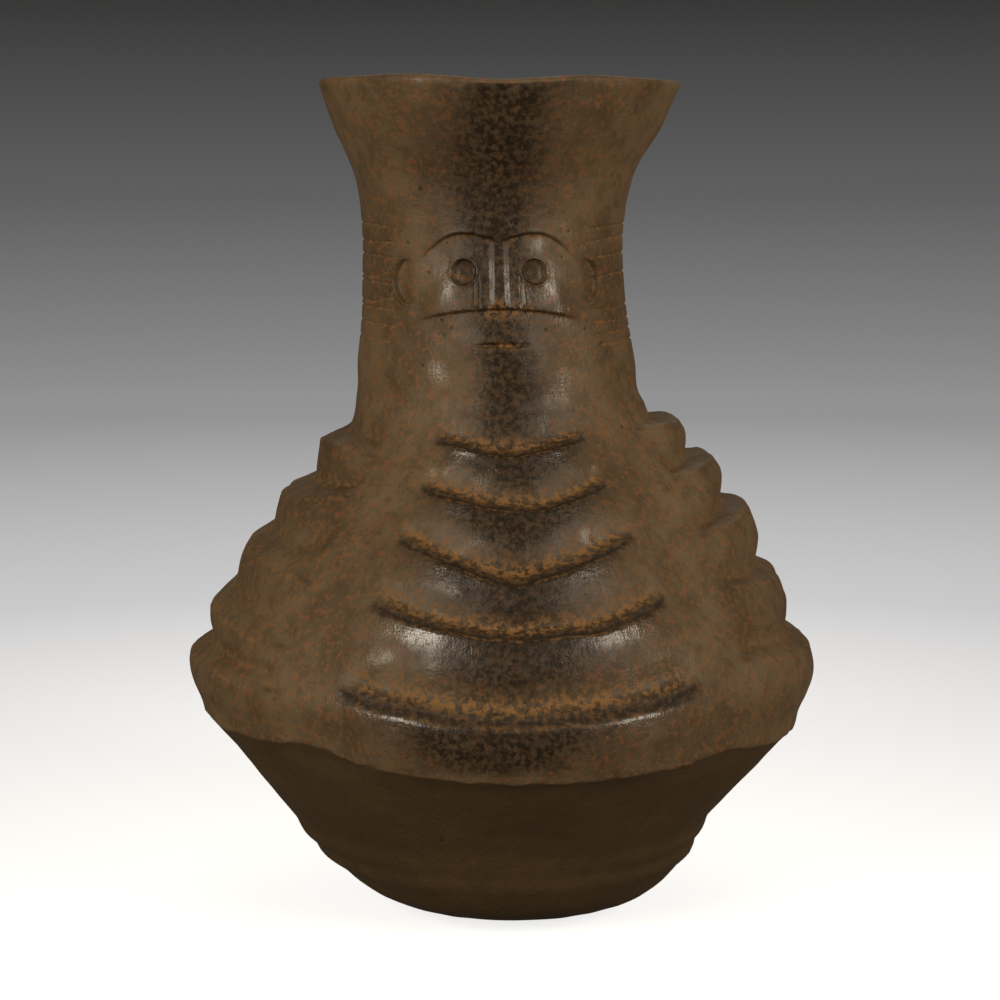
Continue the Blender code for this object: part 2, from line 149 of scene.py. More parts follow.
LEFT = Panel(
    math.radians(-89), math.radians(44), math.radians(46), 0.84, 0 * MM, 0.48, 0.18, 0.1,
    (
        Rib(253 * MM, 0 * MM, 2, 6.8 * MM),
        Rib(224 * MM, 12 * MM, 2, 4.6 * MM),
        Rib(200 * MM, -10 * MM, 2, 2.8 * MM),
        Rib(165 * MM, -5 * MM, 2, 3.6 * MM),
        Rib(141 * MM, -2 * MM, 2, 5.8 * MM),
    ),
)
PANELS = (FRONT, RIGHT, BACK, LEFT)

# Valleys beside the panels, from one share of a panel's reach to another, and the shape of the steps
PANEL_EDGE = 0.72
VALLEY_EDGE = 1.3
VALLEY_DEPTH = 3.5 * MM
NOSE_TAPER = 0.55
COLLAR_NOTCH = 0.7
COLLAR_CLIMB = 0.6
RECESS_ROUNDING = 0.6
LAST_RISER = 48 * MM
SWELLING_HEIGHT = 232 * MM
SWELLING_REACH = 60 * MM

# Low ridges where the coil-built bowl was set on its pressed base
JOINT_HEIGHTS = (33 * MM, 45 * MM)
JOINT_LIFT = 1.8 * MM
JOINT_WIDTH = 16 * MM

# Face, measured round the neck from its middle and up from the foot. Its nose, cheeks and eyes are
# worked a little finer than the solid's.
FACE_TURN = math.radians(3)
FACE_EDGE = 1.4 * MM
EYE_SPACING = 37 * MM
EYE_HEIGHT = 350.5 * MM
EYE_RADIUS = 6.9 * MM
EYE_DEPTH = 2.8 * MM
EYE_RIM = 0.5 * MM
PUPIL_RADIUS = 2.4 * MM
PUPIL_DEPTH = 0.4 * MM
BROW_HEIGHT = 370 * MM
BROW_DEPTH = 2.2 * MM
BROW_DROP_INSIDE = 4 * MM
BROW_DROP_OUTSIDE = 9 * MM
BROW_RIM = 0.6 * MM
CHEEK_HEIGHT = 331.5 * MM
CHEEK_DROP = 5 * MM
CHEEK_SPREAD = 38 * MM
CHEEK_LIFT = 3 * MM
CHEEK_FADE = 8 * MM
CHEEK_BULGE = 1.2 * MM
CHEEK_MIDDLE = 27 * MM
CHEEK_REACH = 12 * MM
NOSE_WIDTH = 11 * MM
NOSE_LIFT = 1.3 * MM
NOSTRIL_SPREAD = 22.6 * MM
NOSTRIL_DEPTH = 1.2 * MM
MOUTH_HEIGHT = 313 * MM
MOUTH_WIDTH = 32 * MM
MOUTH_OPENING = 4.2 * MM
MOUTH_DEPTH = 2.4 * MM
MUZZLE_LIFT = 2.6 * MM
MUZZLE_WIDTH = 1.1 * MOUTH_WIDTH
MUZZLE_HEIGHT = 0.55 * MOUTH_WIDTH
CHIN_DROP = 12 * MM
CHIN_REACH = 20 * MM
EAR_SPACING = 98 * MM
EAR_HEIGHT = 345 * MM
EAR_RADIUS = 12 * MM
EAR_DEPTH = 2.4 * MM
EAR_RIM = 0.7 * MM

# Lines scratched into both sides of the neck: the height of the end nearest the face, and how
# much higher the far end is
LEFT_SCRATCHES = (
    Scratch(372.5 * MM, 0.5 * MM),
    Scratch(364.5 * MM, -0.5 * MM),
    Scratch(356.5 * MM, 0.5 * MM),
    Scratch(350.5 * MM, -5 * MM),
    Scratch(342.5 * MM, 0.5 * MM),
    Scratch(336.5 * MM, -4 * MM),
    Scratch(329.5 * MM, 0 * MM),
    Scratch(321 * MM, 0.5 * MM),
    Scratch(312.5 * MM, 1 * MM),
)
RIGHT_SCRATCHES = (
    Scratch(371.5 * MM, 1 * MM),
    Scratch(364.5 * MM, 1.5 * MM),
    Scratch(356.5 * MM, 0.5 * MM),
    Scratch(345 * MM, 2 * MM),
    Scratch(329.5 * MM, 0 * MM),
    Scratch(323.5 * MM, -1 * MM),
    Scratch(316.5 * MM, 0.5 * MM),
    Scratch(311.5 * MM, -0.5 * MM),
)
SCRATCH_START = math.radians(45)
SCRATCH_END = math.radians(118)
SCRATCH_TAPER = math.radians(5)

# Marks that follow the steps. Places and widths up and down are shares of a step, counted from its
# nose: the tool's crease with dirt and painted shade in it above the nose, the soot and painted
# shade and the shine below. Places and widths across are shares of the panel's reach: where the
# crease ends, where a front or back nose shines, and the pinched ends of the side panels' steps.
CREASE_PLACE = 0.09
CREASE_HALF_WIDTH = 0.06
CREASE_DEPTH = 0.9 * MM
CREASE_END = 0.92
DIRT_AND_SHADE_HALF_WIDTH = 0.15
SOOT_AND_SHADE_START = 0.1
SOOT_AND_SHADE_END = 0.55
SHINE_PLACE = 0.06
SHINE_HALF_WIDTH = 0.16
SHINE_MIDDLE = 0.72
SHINE_REACH = 0.55
PINCH_HALF_WIDTH = 0.1
PINCH_DEPTH = 1.1 * MM
PINCH_SHARE = 0.6

# Hand-made unevenness: bumps by their spacing and depth, worn pits, the edge of the burnished skin,
# and rubbed patches where the grain lies between two levels
FINGER_SPACING = 27 * MM
FINGER_DEPTH = 0.55 * MM
TOOL_SPACING = 8 * MM
TOOL_DEPTH = 0.2 * MM
LOBE_SPACING = 15 * MM
LOBE_DEPTH = 1.1 * MM
RIB_WANDER = 1.3 * MM
RIB_WANDER_SPACING = 22 * MM
RIB_NICK = 0.45 * MM
RIB_NICK_SPACING = 5 * MM
PIT_COUNT = 260
PIT_RADII = (0.7 * MM, 1.6 * MM)
SKIN_EDGE = 0.6 * MM
SKIN_WANDER = 1.6 * MM
RUBBED_SPACING = 11 * MM
RUBBED_LOW = 0.25
RUBBED_HIGH = 0.6
FLAT_SOLE = 4 * MM
NOISE_CELLS = 48
SEED = 7

# The black band up the front: its middle and its half width, at six heights
PATINA_HEIGHTS = (BELLY_HEIGHT, SHOULDER_HEIGHT, YOKE_HEIGHT, COLLAR_HEIGHT, THROAT_HEIGHT, RIM_HEIGHT)
PATINA_TURNS = [math.radians(turn) for turn in (-1.5, 3.5, 5, 5, -1, 3)]
PATINA_WIDTHS = [math.radians(width) for width in (16, 20, 18, 15, 22, 17)]

# How strongly dust, dirt with painted shade, soot with painted shade and shine show at most, from 0
# to 1. A tread's dust fades between two shares of the tread's height. Hollows gather dust by how
# far they lie below the wall round them, and edges are rubbed by how far they stand out of it.
TREAD_DUST = 0.9
TREAD_DUST_FULL = 0.2
TREAD_DUST_END = 2.2
SIDE_TREAD_SHARE = 0.6
SIDE_TREAD_REACH = 0.4
HOLLOW_DUST = 0.6
HOLLOW_DUST_DEPTH = 4 * MM
EDGE_HEIGHT = 1.6 * MM
SIDE_EDGE_LOSS = 0.8
NOSE_DUST = 0.9
NOSE_DUST_REACH = 8 * MM
EYE_DUST = 0.5
LIP_DUST = 0.6
DIRT_AND_SHADE_STRENGTH = 0.8
DIRT_AND_SHADE_OVER_DUST = 0.4
PATINA_LEAST = 0.8
PATINA_AND_SHADE_UNDER_NOSES = 0.9
PATINA_ON_TREADS = 0.8
PATINA_ON_NECK = 0.5
BROW_SOOT = 0.5
RUBBED_SHINE = 0.3
FLANK_SHINE = 0.3
CHEEK_SHINE = 0.55
NOSTRIL_SHINE = 0.1
EYE_RIM_SHINE = 0.3

# Mesh
OUTLINE_STEP = 0.5 * MM
FACE_STEP = 0.55 * MM
RIB_STEP = 0.9 * MM
PLAIN_STEP = 2.2 * MM
CAVITY_STEP = 5 * MM
NORMAL_BLEND = 14 * MM
SIDE_REACH = math.radians(84)
SEEN_COLUMNS = 400
BACK_COLUMNS = 190
HOLLOW_WINDOW = 7 * MM

# Camera: the distance, height and lens that give the photograph's outline and rim
CAMERA_DISTANCE = 1.55
CAMERA_HEIGHT = 0.45
CAMERA_AIM = 0.2223
CAMERA_LENS = 103.85

# Studio sweep: a round pale floor that curves up into a wall all round. Its glow share is a painted
# light falloff, the same in all light, and the lit share takes the lamps' light and the pot's shadow.
SWEEP_FLOOR = 2.3
SWEEP_CURVE = 0.4
SWEEP_WALL = 1.6
PAINTED_GLOW_SHARE = 0.77
LIT_SHARE = 0.46

# Soft boxes: each one's turn from the front, its elevation, width and height, and its share of the
# light power
LIGHT_DISTANCE = 1.9
LIGHT_COLOUR = "#fff3e0"
SOFT_BOXES = (
    SoftBox("left soft box", math.radians(-40), math.radians(17), 0.8, 1.0, 1.1),
    SoftBox("right soft box", math.radians(50), math.radians(17), 0.7, 1.0, 1.0),
    SoftBox("back soft box", math.radians(175), math.radians(50), 1.2, 1.0, 0.25),
)
ROOM_COLOUR = "#c8bda8"
ROOM_LIGHT = 0.2


def smoothstep(value, start, end):
    """0 at start and before it, 1 at end and after it. The end may be the lower value."""
    t = np.clip((value - start) / (end - start), 0.0, 1.0)
    return t * t * (3.0 - 2.0 * t)


def bump(value, middle, half_width):
    """1 at the middle, easing to 0 at half_width to either side."""
    return smoothstep(np.abs(value - middle), half_width, 0.0)


def smooth_min(a, b, rounding):
    return (a + b - np.sqrt((a - b) ** 2 + rounding**2)) / 2.0


def smooth_max(a, b, rounding):
    return (a + b + np.sqrt((a - b) ** 2 + rounding**2)) / 2.0


def turn_from(azimuth, middle):
    """Signed angle from the middle, between -pi and pi."""
    return (azimuth - middle + math.pi) % (2.0 * math.pi) - math.pi


def grain(points, spacing, seed):
    """Smooth seeded noise between -1 and 1, with bumps about one spacing apart."""
    table = np.random.default_rng(seed).uniform(-1.0, 1.0, (NOISE_CELLS,) * 3)
    cell = np.floor(points / spacing).astype(int)
    place = points / spacing - cell
    place = place * place * (3.0 - 2.0 * place)
    total = np.zeros(points.shape[:-1])
    for corner in itertools.product((0, 1), repeat=3):
        weight = np.prod(np.where(corner, place, 1.0 - place), axis=-1)
        index = np.moveaxis((cell + np.array(corner)) % NOISE_CELLS, -1, 0)
        total += weight * table[tuple(index)]
    return total


def curve_through(points):
    """Close points along a smooth curve through the given ones, one Catmull-Rom piece each."""
    points = np.array(points, float)
    padded = np.vstack([2 * points[0] - points[1], points, 2 * points[-1] - points[-2]])
    t = np.linspace(0.0, 1.0, 60)[:, None]
    pieces = []
    for before, start, end, after in zip(padded, padded[1:], padded[2:], padded[3:]):
        leave = (end - before) / 2
        arrive = (after - start) / 2
        pieces.append(
            (2 * t**3 - 3 * t**2 + 1) * start
            + (t**3 - 2 * t**2 + t) * leave
            + (3 * t**2 - 2 * t**3) * end
            + (t**3 - t**2) * arrive
        )
    return np.vstack(pieces)


def arc_lengths(points):
    steps = np.linalg.norm(np.diff(points, axis=0), axis=1)
    return np.concatenate([[0.0], np.cumsum(steps)])


def sampled(pairs, along, lengths):
    """Pairs that belong to the lengths in along, read at other lengths."""
    return np.column_stack([np.interp(lengths, along, pairs[:, i]) for i in (0, 1)])


def even_points(points, step):
    along = arc_lengths(points)
    count = max(3, round(along[-1] / step) + 1)
    return sampled(points, along, np.linspace(0.0, along[-1], count))


def outer_outline():
    """Radius and height up the smooth outer wall, from the foot to the lip."""
    bowl = curve_through([
        (FOOT_RADIUS, 0.0),
        (SOLE_RADIUS, SOLE_HEIGHT),
        (HEEL_RADIUS, HEEL_HEIGHT),
        (FLANK_RADIUS, FLANK_HEIGHT),
        (BELLY_RADIUS, BELLY_HEIGHT),
    ])
    shoulder_and_neck = curve_through([
        (BELLY_RADIUS, BELLY_HEIGHT),
        (SKIRT_RADIUS, SKIRT_HEIGHT),
        (SHOULDER_RADIUS, SHOULDER_HEIGHT),
        (YOKE_RADIUS, YOKE_HEIGHT),
        (COLLAR_RADIUS, COLLAR_HEIGHT),
        (NECK_RADIUS, NECK_HEIGHT),
        (THROAT_RADIUS, THROAT_HEIGHT),
        (FLARE_RADIUS, FLARE_HEIGHT),
        (RIM_RADIUS, RIM_HEIGHT - LIP / 2),
    ])
    return even_points(np.vstack([bowl[:-1], shoulder_and_neck]), OUTLINE_STEP)


def outward_normals(outline):
    """Normals of the outline, eased across its corners so that carving never folds there."""
    tangents = np.gradient(outline, axis=0)
    window = np.ones(2 * round(NORMAL_BLEND / OUTLINE_STEP / 2) + 1)
    margin = len(window) // 2
    padded = np.pad(tangents, ((margin, margin), (0, 0)), mode="edge")
    eased = np.column_stack([np.convolve(padded[:, i], window, "valid") for i in (0, 1)])
    normals = np.column_stack([eased[:, 1], -eased[:, 0]])
    return normals / np.linalg.norm(normals, axis=1)[:, None]


def wall_depth(height):
    """Depth of the cavity's wall behind the smooth outer wall."""
    return np.interp(
        height,
        [0.0, FLANK_HEIGHT, BELLY_HEIGHT, YOKE_HEIGHT, COLLAR_HEIGHT, THROAT_HEIGHT, RIM_HEIGHT],
        [FLOOR, BOWL_WALL, SHOULDER_WALL, SHOULDER_WALL, NECK_WALL, NECK_WALL, LIP],
    )


def cavity_outline(outline, normals):
    """Radius and height down the cavity, from the lip to the middle of the floor."""
    picks = np.linspace(0, len(outline) - 1, 16).round().astype(int)[1:-1]
    inset = outline[picks] - normals[picks] * wall_depth(outline[picks, 1])[:, None]
    floor_edge = (FOOT_RADIUS, FLOOR)
    lip_edge = (RIM_RADIUS - LIP, RIM_HEIGHT - LIP / 2)
    curve = curve_through([lip_edge, *inset[::-1], floor_edge, (0.0, FLOOR)])
    return even_points(curve, CAVITY_STEP)[:-1]


def lip_arc():
    """The rounded top of the lip, from its outer side to its inner side."""
    angles = np.linspace(0.0, math.pi, 9)[1:-1]
    across = RIM_RADIUS - LIP / 2 + np.cos(angles) * LIP / 2
    return np.column_stack([across, RIM_HEIGHT - LIP / 2 + np.sin(angles) * LIP / 2])


def panel_reach(panel, height):
    """Half of the panel's spread, which widens towards the belly."""
    top = panel.ribs[0].height
    foot = panel.ribs[-1].height
    share = np.clip((top - height) / (top - foot), 0.0, 1.0)
    return panel.top_reach + (panel.foot_reach - panel.top_reach) * share


def panel_spread(panel, azimuth, height):
    """0 at the panel's middle and 1 at its reach."""
    return np.abs(turn_from(azimuth, panel.middle)) / panel_reach(panel, height)


def panel_phase(panel, spread, height):
    """Ribs counted down the panel: 0 on the first nose, 1 on the second, and so on."""
    noses = [rib.height + rib.lift * np.minimum(spread, 1.2) ** rib.bow for rib in panel.ribs]
    phase = np.minimum((noses[0] - height) / (noses[0] - noses[1]), 0.0)
    for upper, lower in zip(noses, noses[1:]):
        phase = phase + np.clip((upper - height) / (upper - lower), 0.0, 1.0)
    return phase + np.maximum((noses[-1] - height) / LAST_RISER, 0.0)


def stairs(panel, phase):
    """Stair profile between -1 in a recess and 1 on a nose. The last riser ends flush."""
    last = len(panel.ribs) - 1
    rib = np.clip(np.floor(phase), 0, last)
    place = phase - rib
    riser_share = 1.0 - panel.tread
    down = np.clip(place / riser_share, 0.0, 1.0)
    bulge = panel.bulge * 16.0 * (down * (1.0 - down)) ** 2
    is_last = rib >= last
    foot = np.where(is_last, 0.0, -1.0)
    riser = 1.0 + (foot - 1.0) * place / riser_share + bulge
    tread = np.where(is_last, foot, 2.0 * (place - riser_share) / panel.tread - 1.0)
    next_riser = np.where(is_last, 9.0, 1.0 - 2.0 * (place - 1.0) / riser_share)
    tread_above = 1.0 + 2.0 * place / panel.tread
    step = smooth_max(riser, tread, RECESS_ROUNDING)
    step = smooth_min(step, tread_above, panel.rounding)
    step = smooth_min(step, next_riser, panel.rounding)
    collar = np.minimum((-phase - panel.tread) / COLLAR_CLIMB - COLLAR_NOTCH, 0.0)
    return np.where(phase < 0.0, smooth_max(step, collar, RECESS_ROUNDING), step)


def panel_share(panel, azimuth, height):
    """1 across the panel, easing to 0 in the valleys beside it."""
    return smoothstep(panel_spread(panel, azimuth, height), VALLEY_EDGE, PANEL_EDGE)


def panel_steps(panel, azimuth, height):
    """How far the steps stand out of the smooth wall. The noses run out before the recesses do."""
    spread = panel_spread(panel, azimuth, height)
    phase = panel_phase(panel, spread, height)
    depth = np.interp(phase, range(len(panel.ribs)), [rib.depth for rib in panel.ribs])
    step = depth * stairs(panel, phase)
    start = np.where(step > 0.0, NOSE_TAPER * panel.taper, panel.taper)
    return step * smoothstep(spread, 1.0, start)


def step_marks(azimuth, height):
    """Masks of the marks that follow the steps.

    Treads hold dust, a crease runs along each tread's outer edge with dirt and painted shade round
    it, soot and painted shade darken the clay under each nose, and the sides of each nose are rubbed
    bright.
    """
    names = ("treads", "creases", "dirt_and_shade", "soot", "bright")
    marks = {name: np.zeros(np.broadcast(azimuth, height).shape) for name in names}
    for panel in PANELS:
        spread = panel_spread(panel, azimuth, height)
        phase = panel_phase(panel, spread, height)
        last = len(panel.ribs) - 1
        above = np.clip(np.ceil(phase), 0, last) - phase
        below = phase - np.clip(np.floor(phase), 0, last)
        if panel in (FRONT, BACK):
            tread = smoothstep(above, TREAD_DUST_END * panel.tread, TREAD_DUST_FULL * panel.tread)
            reach = smoothstep(spread, 1.0, CREASE_END)
            rubbed = bump(spread, SHINE_MIDDLE, SHINE_REACH)
        else:
            tread = SIDE_TREAD_SHARE * bump(above, 0.0, SIDE_TREAD_REACH * panel.tread)
            rubbed = bump(spread, CREASE_END, PINCH_HALF_WIDTH)
            reach = PINCH_SHARE * rubbed
        reach = reach * (phase < last)
        found = {
            "treads": tread * smoothstep(spread, 1.0, panel.taper) * (phase < last),
            "creases": reach * bump(above, CREASE_PLACE, CREASE_HALF_WIDTH),
            "dirt_and_shade": reach * bump(above, CREASE_PLACE, DIRT_AND_SHADE_HALF_WIDTH),
            "soot": smoothstep(below, SOOT_AND_SHADE_END, SOOT_AND_SHADE_START) * (below > 0.0),
            "bright": rubbed * bump(below, SHINE_PLACE, SHINE_HALF_WIDTH),
        }
        for name, mask in found.items():
            marks[name] = np.maximum(marks[name], mask * (spread < VALLEY_EDGE))
    return marks


def shoulder_carving(azimuth, height):
    """Ribs on the panels, and the smooth valleys between them."""
    carving = np.zeros(np.broadcast(azimuth, height).shape)
    panels = np.zeros_like(carving)
    swelling = bump(height, SWELLING_HEIGHT, SWELLING_REACH)
    for panel in PANELS:
        turn = turn_from(azimuth, panel.middle)
        carving += panel_steps(panel, azimuth, height)
        carving += panel.swell * swelling * bump(turn, 0.0, 1.8 * panel.foot_reach)
        panels += panel_share(panel, azimuth, height)
    top = YOKE_HEIGHT + 2 * (COLLAR_HEIGHT - YOKE_HEIGHT) / 3
    carving = carving * smoothstep(height, top, YOKE_HEIGHT - VALLEY_DEPTH)
    valley = VALLEY_DEPTH * smoothstep(height, COLLAR_HEIGHT, SHOULDER_HEIGHT)
    above_belly = smoothstep(height, BELLY_HEIGHT - NORMAL_BLEND, BELLY_HEIGHT)
    return (carving - valley * np.maximum(1.0 - panels, 0.0)) * above_belly


def bowl_carving(azimuth, height):
    """Two uneven ridges round the lower bowl, highest at its sides."""
    ridges = sum(bump(height, middle, JOINT_WIDTH / 2) for middle in JOINT_HEIGHTS)
    return JOINT_LIFT * ridges * (0.15 + 0.85 * np.sin(azimuth) ** 2)


def across_face(azimuth):
    """Distance round the neck from the middle of the face."""
    return np.abs(turn_from(azimuth, FACE_TURN)) * NECK_RADIUS


def from_eye(across, height):
    """Distance from the middle of the nearer eye."""
    return np.hypot(across - EYE_SPACING / 2, height - EYE_HEIGHT)


def eye_hollow(across, height):
    """1 in both eyes' hollows."""
    return smoothstep(from_eye(across, height), EYE_RADIUS, EYE_RADIUS - FACE_EDGE)


def cheek_bulge(across, height, edge):
    """1 at the fullest place of a cheek, over the plate's edge."""
    return bump(across, CHEEK_MIDDLE, CHEEK_REACH) * bump(height, edge + CHEEK_REACH, CHEEK_REACH)


def cheek_plates(across, height):
    """Two plates under arched brows that lean out to an edge above the mouth."""
    middle = CHEEK_SPREAD / 2
    arch = ((across - middle) / middle) ** 2
    brow = BROW_HEIGHT - arch * np.where(across > middle, BROW_DROP_OUTSIDE, BROW_DROP_INSIDE)
    edge = CHEEK_HEIGHT - CHEEK_DROP * (across / CHEEK_SPREAD) ** 2
    rise = np.clip((height - edge) / (brow - edge), 0.0, 1.0)
    level = CHEEK_LIFT - (CHEEK_LIFT + BROW_DEPTH) * rise
    level = level + CHEEK_BULGE * cheek_bulge(across, height, edge)
    burr = BROW_RIM * bump(height, brow + FACE_EDGE, FACE_EDGE) * bump(across, middle, middle)
    within = smoothstep(height, edge - FACE_EDGE / 2, edge + FACE_EDGE / 2)
    within = within * smoothstep(height, brow + FACE_EDGE / 2, brow - FACE_EDGE / 2)
    fade = smoothstep(across, CHEEK_SPREAD + CHEEK_FADE, CHEEK_SPREAD - CHEEK_FADE)
    return level * within * fade + burr, within


def nose(across, height, within):
    """A narrow flat ridge between the plates, and a groove beside each nostril."""
    ridge = NOSE_LIFT * smoothstep(across, NOSE_WIDTH / 2, NOSE_WIDTH / 6)
    low = smoothstep(height, EYE_HEIGHT, EYE_HEIGHT - EYE_RADIUS)
    groove = NOSTRIL_DEPTH * bump(across, NOSTRIL_SPREAD / 2, FACE_EDGE) * low
    return (ridge - groove) * within


def eye(across, height):
    """A round hollow with a raised rim and a deeper middle."""
    distance = from_eye(across, height)
    pupil = smoothstep(distance, PUPIL_RADIUS, 0.0)
    rim = bump(distance, EYE_RADIUS + EYE_RIM, 1.5 * EYE_RIM)
    return EYE_RIM * rim - EYE_DEPTH * eye_hollow(across, height) - PUPIL_DEPTH * pupil


def mouth(across, height):
    """A soft muzzle with a lens-shaped slit in it."""
    muzzle = bump(across, 0.0, MUZZLE_WIDTH) * bump(height, MOUTH_HEIGHT, MUZZLE_HEIGHT)
    half_open = MOUTH_OPENING / 2 * (1.0 - (across / (MOUTH_WIDTH / 2)) ** 2)
    slit = smoothstep(np.abs(height - MOUTH_HEIGHT), half_open, half_open - MOUTH_OPENING / 2)
    slit = np.where(half_open > 0.0, slit, 0.0)
    return MUZZLE_LIFT * muzzle - MOUTH_DEPTH * slit


def ear(across, height):
    """A hollow that is steep at its outer edge and runs out towards the face."""
    out = across - EAR_SPACING / 2
    distance = np.hypot(out, height - EAR_HEIGHT)
    hollow = smoothstep(distance, EAR_RADIUS, EAR_RADIUS - FACE_EDGE)
    hollow = hollow * smoothstep(out, -0.3 * EAR_RADIUS, 0.7 * EAR_RADIUS)
    rim = bump(distance, EAR_RADIUS + EAR_RIM, 2 * EAR_RIM) * smoothstep(out, 0.0, 0.5 * EAR_RADIUS)
    return EAR_RIM * rim - EAR_DEPTH * hollow


def face_carving(azimuth, height):
    across = across_face(azimuth)
    plates, within = cheek_plates(across, height)
    relief = plates + nose(across, height, within)
    return relief + eye(across, height) + mouth(across, height) + ear(across, height)


def belly_shift(azimuth, height):
    """How far hand building moved the belly edge up or down."""
    panels = sum(panel_share(panel, azimuth, BELLY_HEIGHT) for panel in PANELS)
    shift = BELLY_LIFT * np.maximum(1.0 - panels, 0.0) - BELLY_TILT * np.sin(azimuth)
    shift = shift - BELLY_SAG * bump(azimuth, FRONT.middle, 1.2 * FRONT.foot_reach)
    return shift * bump(height, BELLY_HEIGHT, BELLY_HEIGHT / 2)


def rim_shift(azimuth, height):
    """The wavy lip: low at both sides, and dipped in the middle of its front and back."""
    across = np.sin(azimuth)
    wave = np.cos(2 * azimuth) - RIM_DIP * bump(across, 0.0, RIM_DIP_REACH) - RIM_TILT * across
    return RIM_RIPPLE * wave * smoothstep(height, THROAT_HEIGHT, RIM_HEIGHT)


def lean(height):
    """Sideways lean of the neck, and of the bowl and foot the other way."""
    neck = NECK_LEAN * bump(height, NECK_HEIGHT, 1.2 * (RIM_HEIGHT - NECK_HEIGHT))
    bowl = BOWL_LEAN * smoothstep(height, SKIRT_HEIGHT, FLANK_HEIGHT)
    return neck + bowl + FOOT_LEAN * smoothstep(height, FLANK_HEIGHT, 0.0)


def placed(radius, height, azimuth):
    """Vertex positions, with the hand-built irregularity that both sides of the wall share."""
    height = height + belly_shift(azimuth, height) + rim_shift(azimuth, height)
    x = radius * np.sin(azimuth) + lean(height)
    return np.stack(np.broadcast_arrays(x, -radius * np.cos(azimuth), height), axis=-1)


def column_azimuths():
    """Azimuths of the mesh's columns, closer together on the side that the camera sees."""
    seen = np.linspace(-SIDE_REACH, SIDE_REACH, SEEN_COLUMNS, endpoint=False)
    back = np.linspace(SIDE_REACH, 2 * math.pi - SIDE_REACH, BACK_COLUMNS, endpoint=False)
    return turn_from(np.concatenate([seen, back]), 0.0)


def row_lengths(outline):
    """Lengths up the outline of the mesh's rows, closest together on the face."""
    along = arc_lengths(outline)
    height = outline[:, 1]
    ribs = (height > BELLY_HEIGHT - NORMAL_BLEND) & (height < COLLAR_HEIGHT)
    face = (height >= COLLAR_HEIGHT) & (height < BROW_HEIGHT + NORMAL_BLEND / 2)
    per_row = np.select([ribs, face], [RIB_STEP, FACE_STEP], PLAIN_STEP)
    rows = np.concatenate([[0.0], np.cumsum(OUTLINE_STEP / per_row[1:])])
    return np.interp(np.linspace(0.0, rows[-1], round(rows[-1])), rows, along)


def scratches(azimuth, height, width):
    """Lines pressed into both sides of the neck with a pointed stick."""
    marks = np.zeros(np.broadcast(azimuth, height).shape)
    for side, lines in ((-1.0, LEFT_SCRATCHES), (1.0, RIGHT_SCRATCHES)):
        turn = side * azimuth
        reach = smoothstep(turn, SCRATCH_START, SCRATCH_START + SCRATCH_TAPER)
        reach = reach * smoothstep(turn, SCRATCH_END, SCRATCH_END - SCRATCH_TAPER)
        out = np.clip((turn - SCRATCH_START) / (SCRATCH_END - SCRATCH_START), 0.0, 1.0)
        for line in lines:
            middle = line.height + line.slant * np.minimum(4.0 * out, 1.0)
            marks = np.maximum(marks, bump(height, middle, width) * reach)
    return marks


def pits(points):
    """Small seeded hollows left by grit and by wear."""
    chooser = np.random.default_rng(SEED)
    rows, columns = points.shape[:2]
    hollow = np.zeros((rows, columns))
    for _ in range(PIT_COUNT):
        centre = points[chooser.integers(rows), chooser.integers(columns)]
        radius = chooser.uniform(*PIT_RADII) * chooser.uniform(0.5, 1.0)
        near = np.abs(points[:, 0, 2] - centre[2]) < 2 * BELLY_LIFT + BELLY_TILT
        distance = np.linalg.norm(points[near] - centre, axis=-1)
        hollow[near] = np.maximum(hollow[near], radius * smoothstep(distance, radius, 0.3 * radius))
    return hollow


def blurred(values, rows, columns):
    """Mean over a window of rows and columns, round the pot."""
    wrapped = np.pad(values, ((0, 0), (columns, columns)), mode="wrap")
    wrapped = np.pad(wrapped, ((rows, rows), (0, 0)), mode="edge")
    total = np.pad(np.cumsum(np.cumsum(wrapped, 0), 1), ((1, 0), (1, 0)))
    high, wide = 2 * rows + 1, 2 * columns + 1
    box = total[high:, wide:] - total[:-high, wide:] - total[high:, :-wide] + total[:-high, :-wide]
    return box / (high * wide)


def on_shoulder(height):
    """1 on the carved shoulder, easing to 0 at the belly edge and under the neck."""
    above_belly = smoothstep(height, BELLY_HEIGHT, SKIRT_HEIGHT)
    return above_belly * smoothstep(height, COLLAR_HEIGHT, YOKE_HEIGHT)


def wall_marks(wall, heights, sizes):
    """Masks of the marks on the outer wall. Those of the steps follow the wandering heights."""
    marks = step_marks(wall.azimuth, heights)
    marks["beside"] = sum(panel_share(panel, wall.azimuth, wall.lifted) for panel in (LEFT, RIGHT))
    marks["beside"] = marks["beside"] * on_shoulder(wall.lifted)
    marks["scratches"] = scratches(wall.azimuth, wall.lifted, sizes.scratch_width / 2)
    marks["pits"] = pits(wall.points)
    marks["skin"] = smoothstep(
        wall.height + SKIN_WANDER * grain(wall.points, TOOL_SPACING, SEED + 6),
        BELLY_HEIGHT - SKIN_EDGE,
        BELLY_HEIGHT + SKIN_EDGE,
    )
    return marks


def hand_shaping(wall, marks, sizes):
    """How far fingers, tools and wear moved the carved wall out or in."""
    shaping = FINGER_DEPTH * grain(wall.points, FINGER_SPACING, SEED + 3)
    shaping = shaping + TOOL_DEPTH * grain(wall.points, TOOL_SPACING, SEED + 4)
    shaping = shaping + LOBE_DEPTH * marks["beside"] * grain(wall.points, LOBE_SPACING, SEED + 5)
    shaping = shaping - sizes.scratch_depth * marks["scratches"] - sizes.pit_depth * marks["pits"]
    crease_depth = np.where(marks["beside"] > 0.5, PINCH_DEPTH, CREASE_DEPTH)
    shaping = shaping - marks["creases"] * crease_depth
    shaping = shaping + SKIN_EDGE * marks["skin"] * bump(wall.height, BELLY_HEIGHT, NORMAL_BLEND)
    return shaping * smoothstep(wall.height, 0.0, FLAT_SOLE)


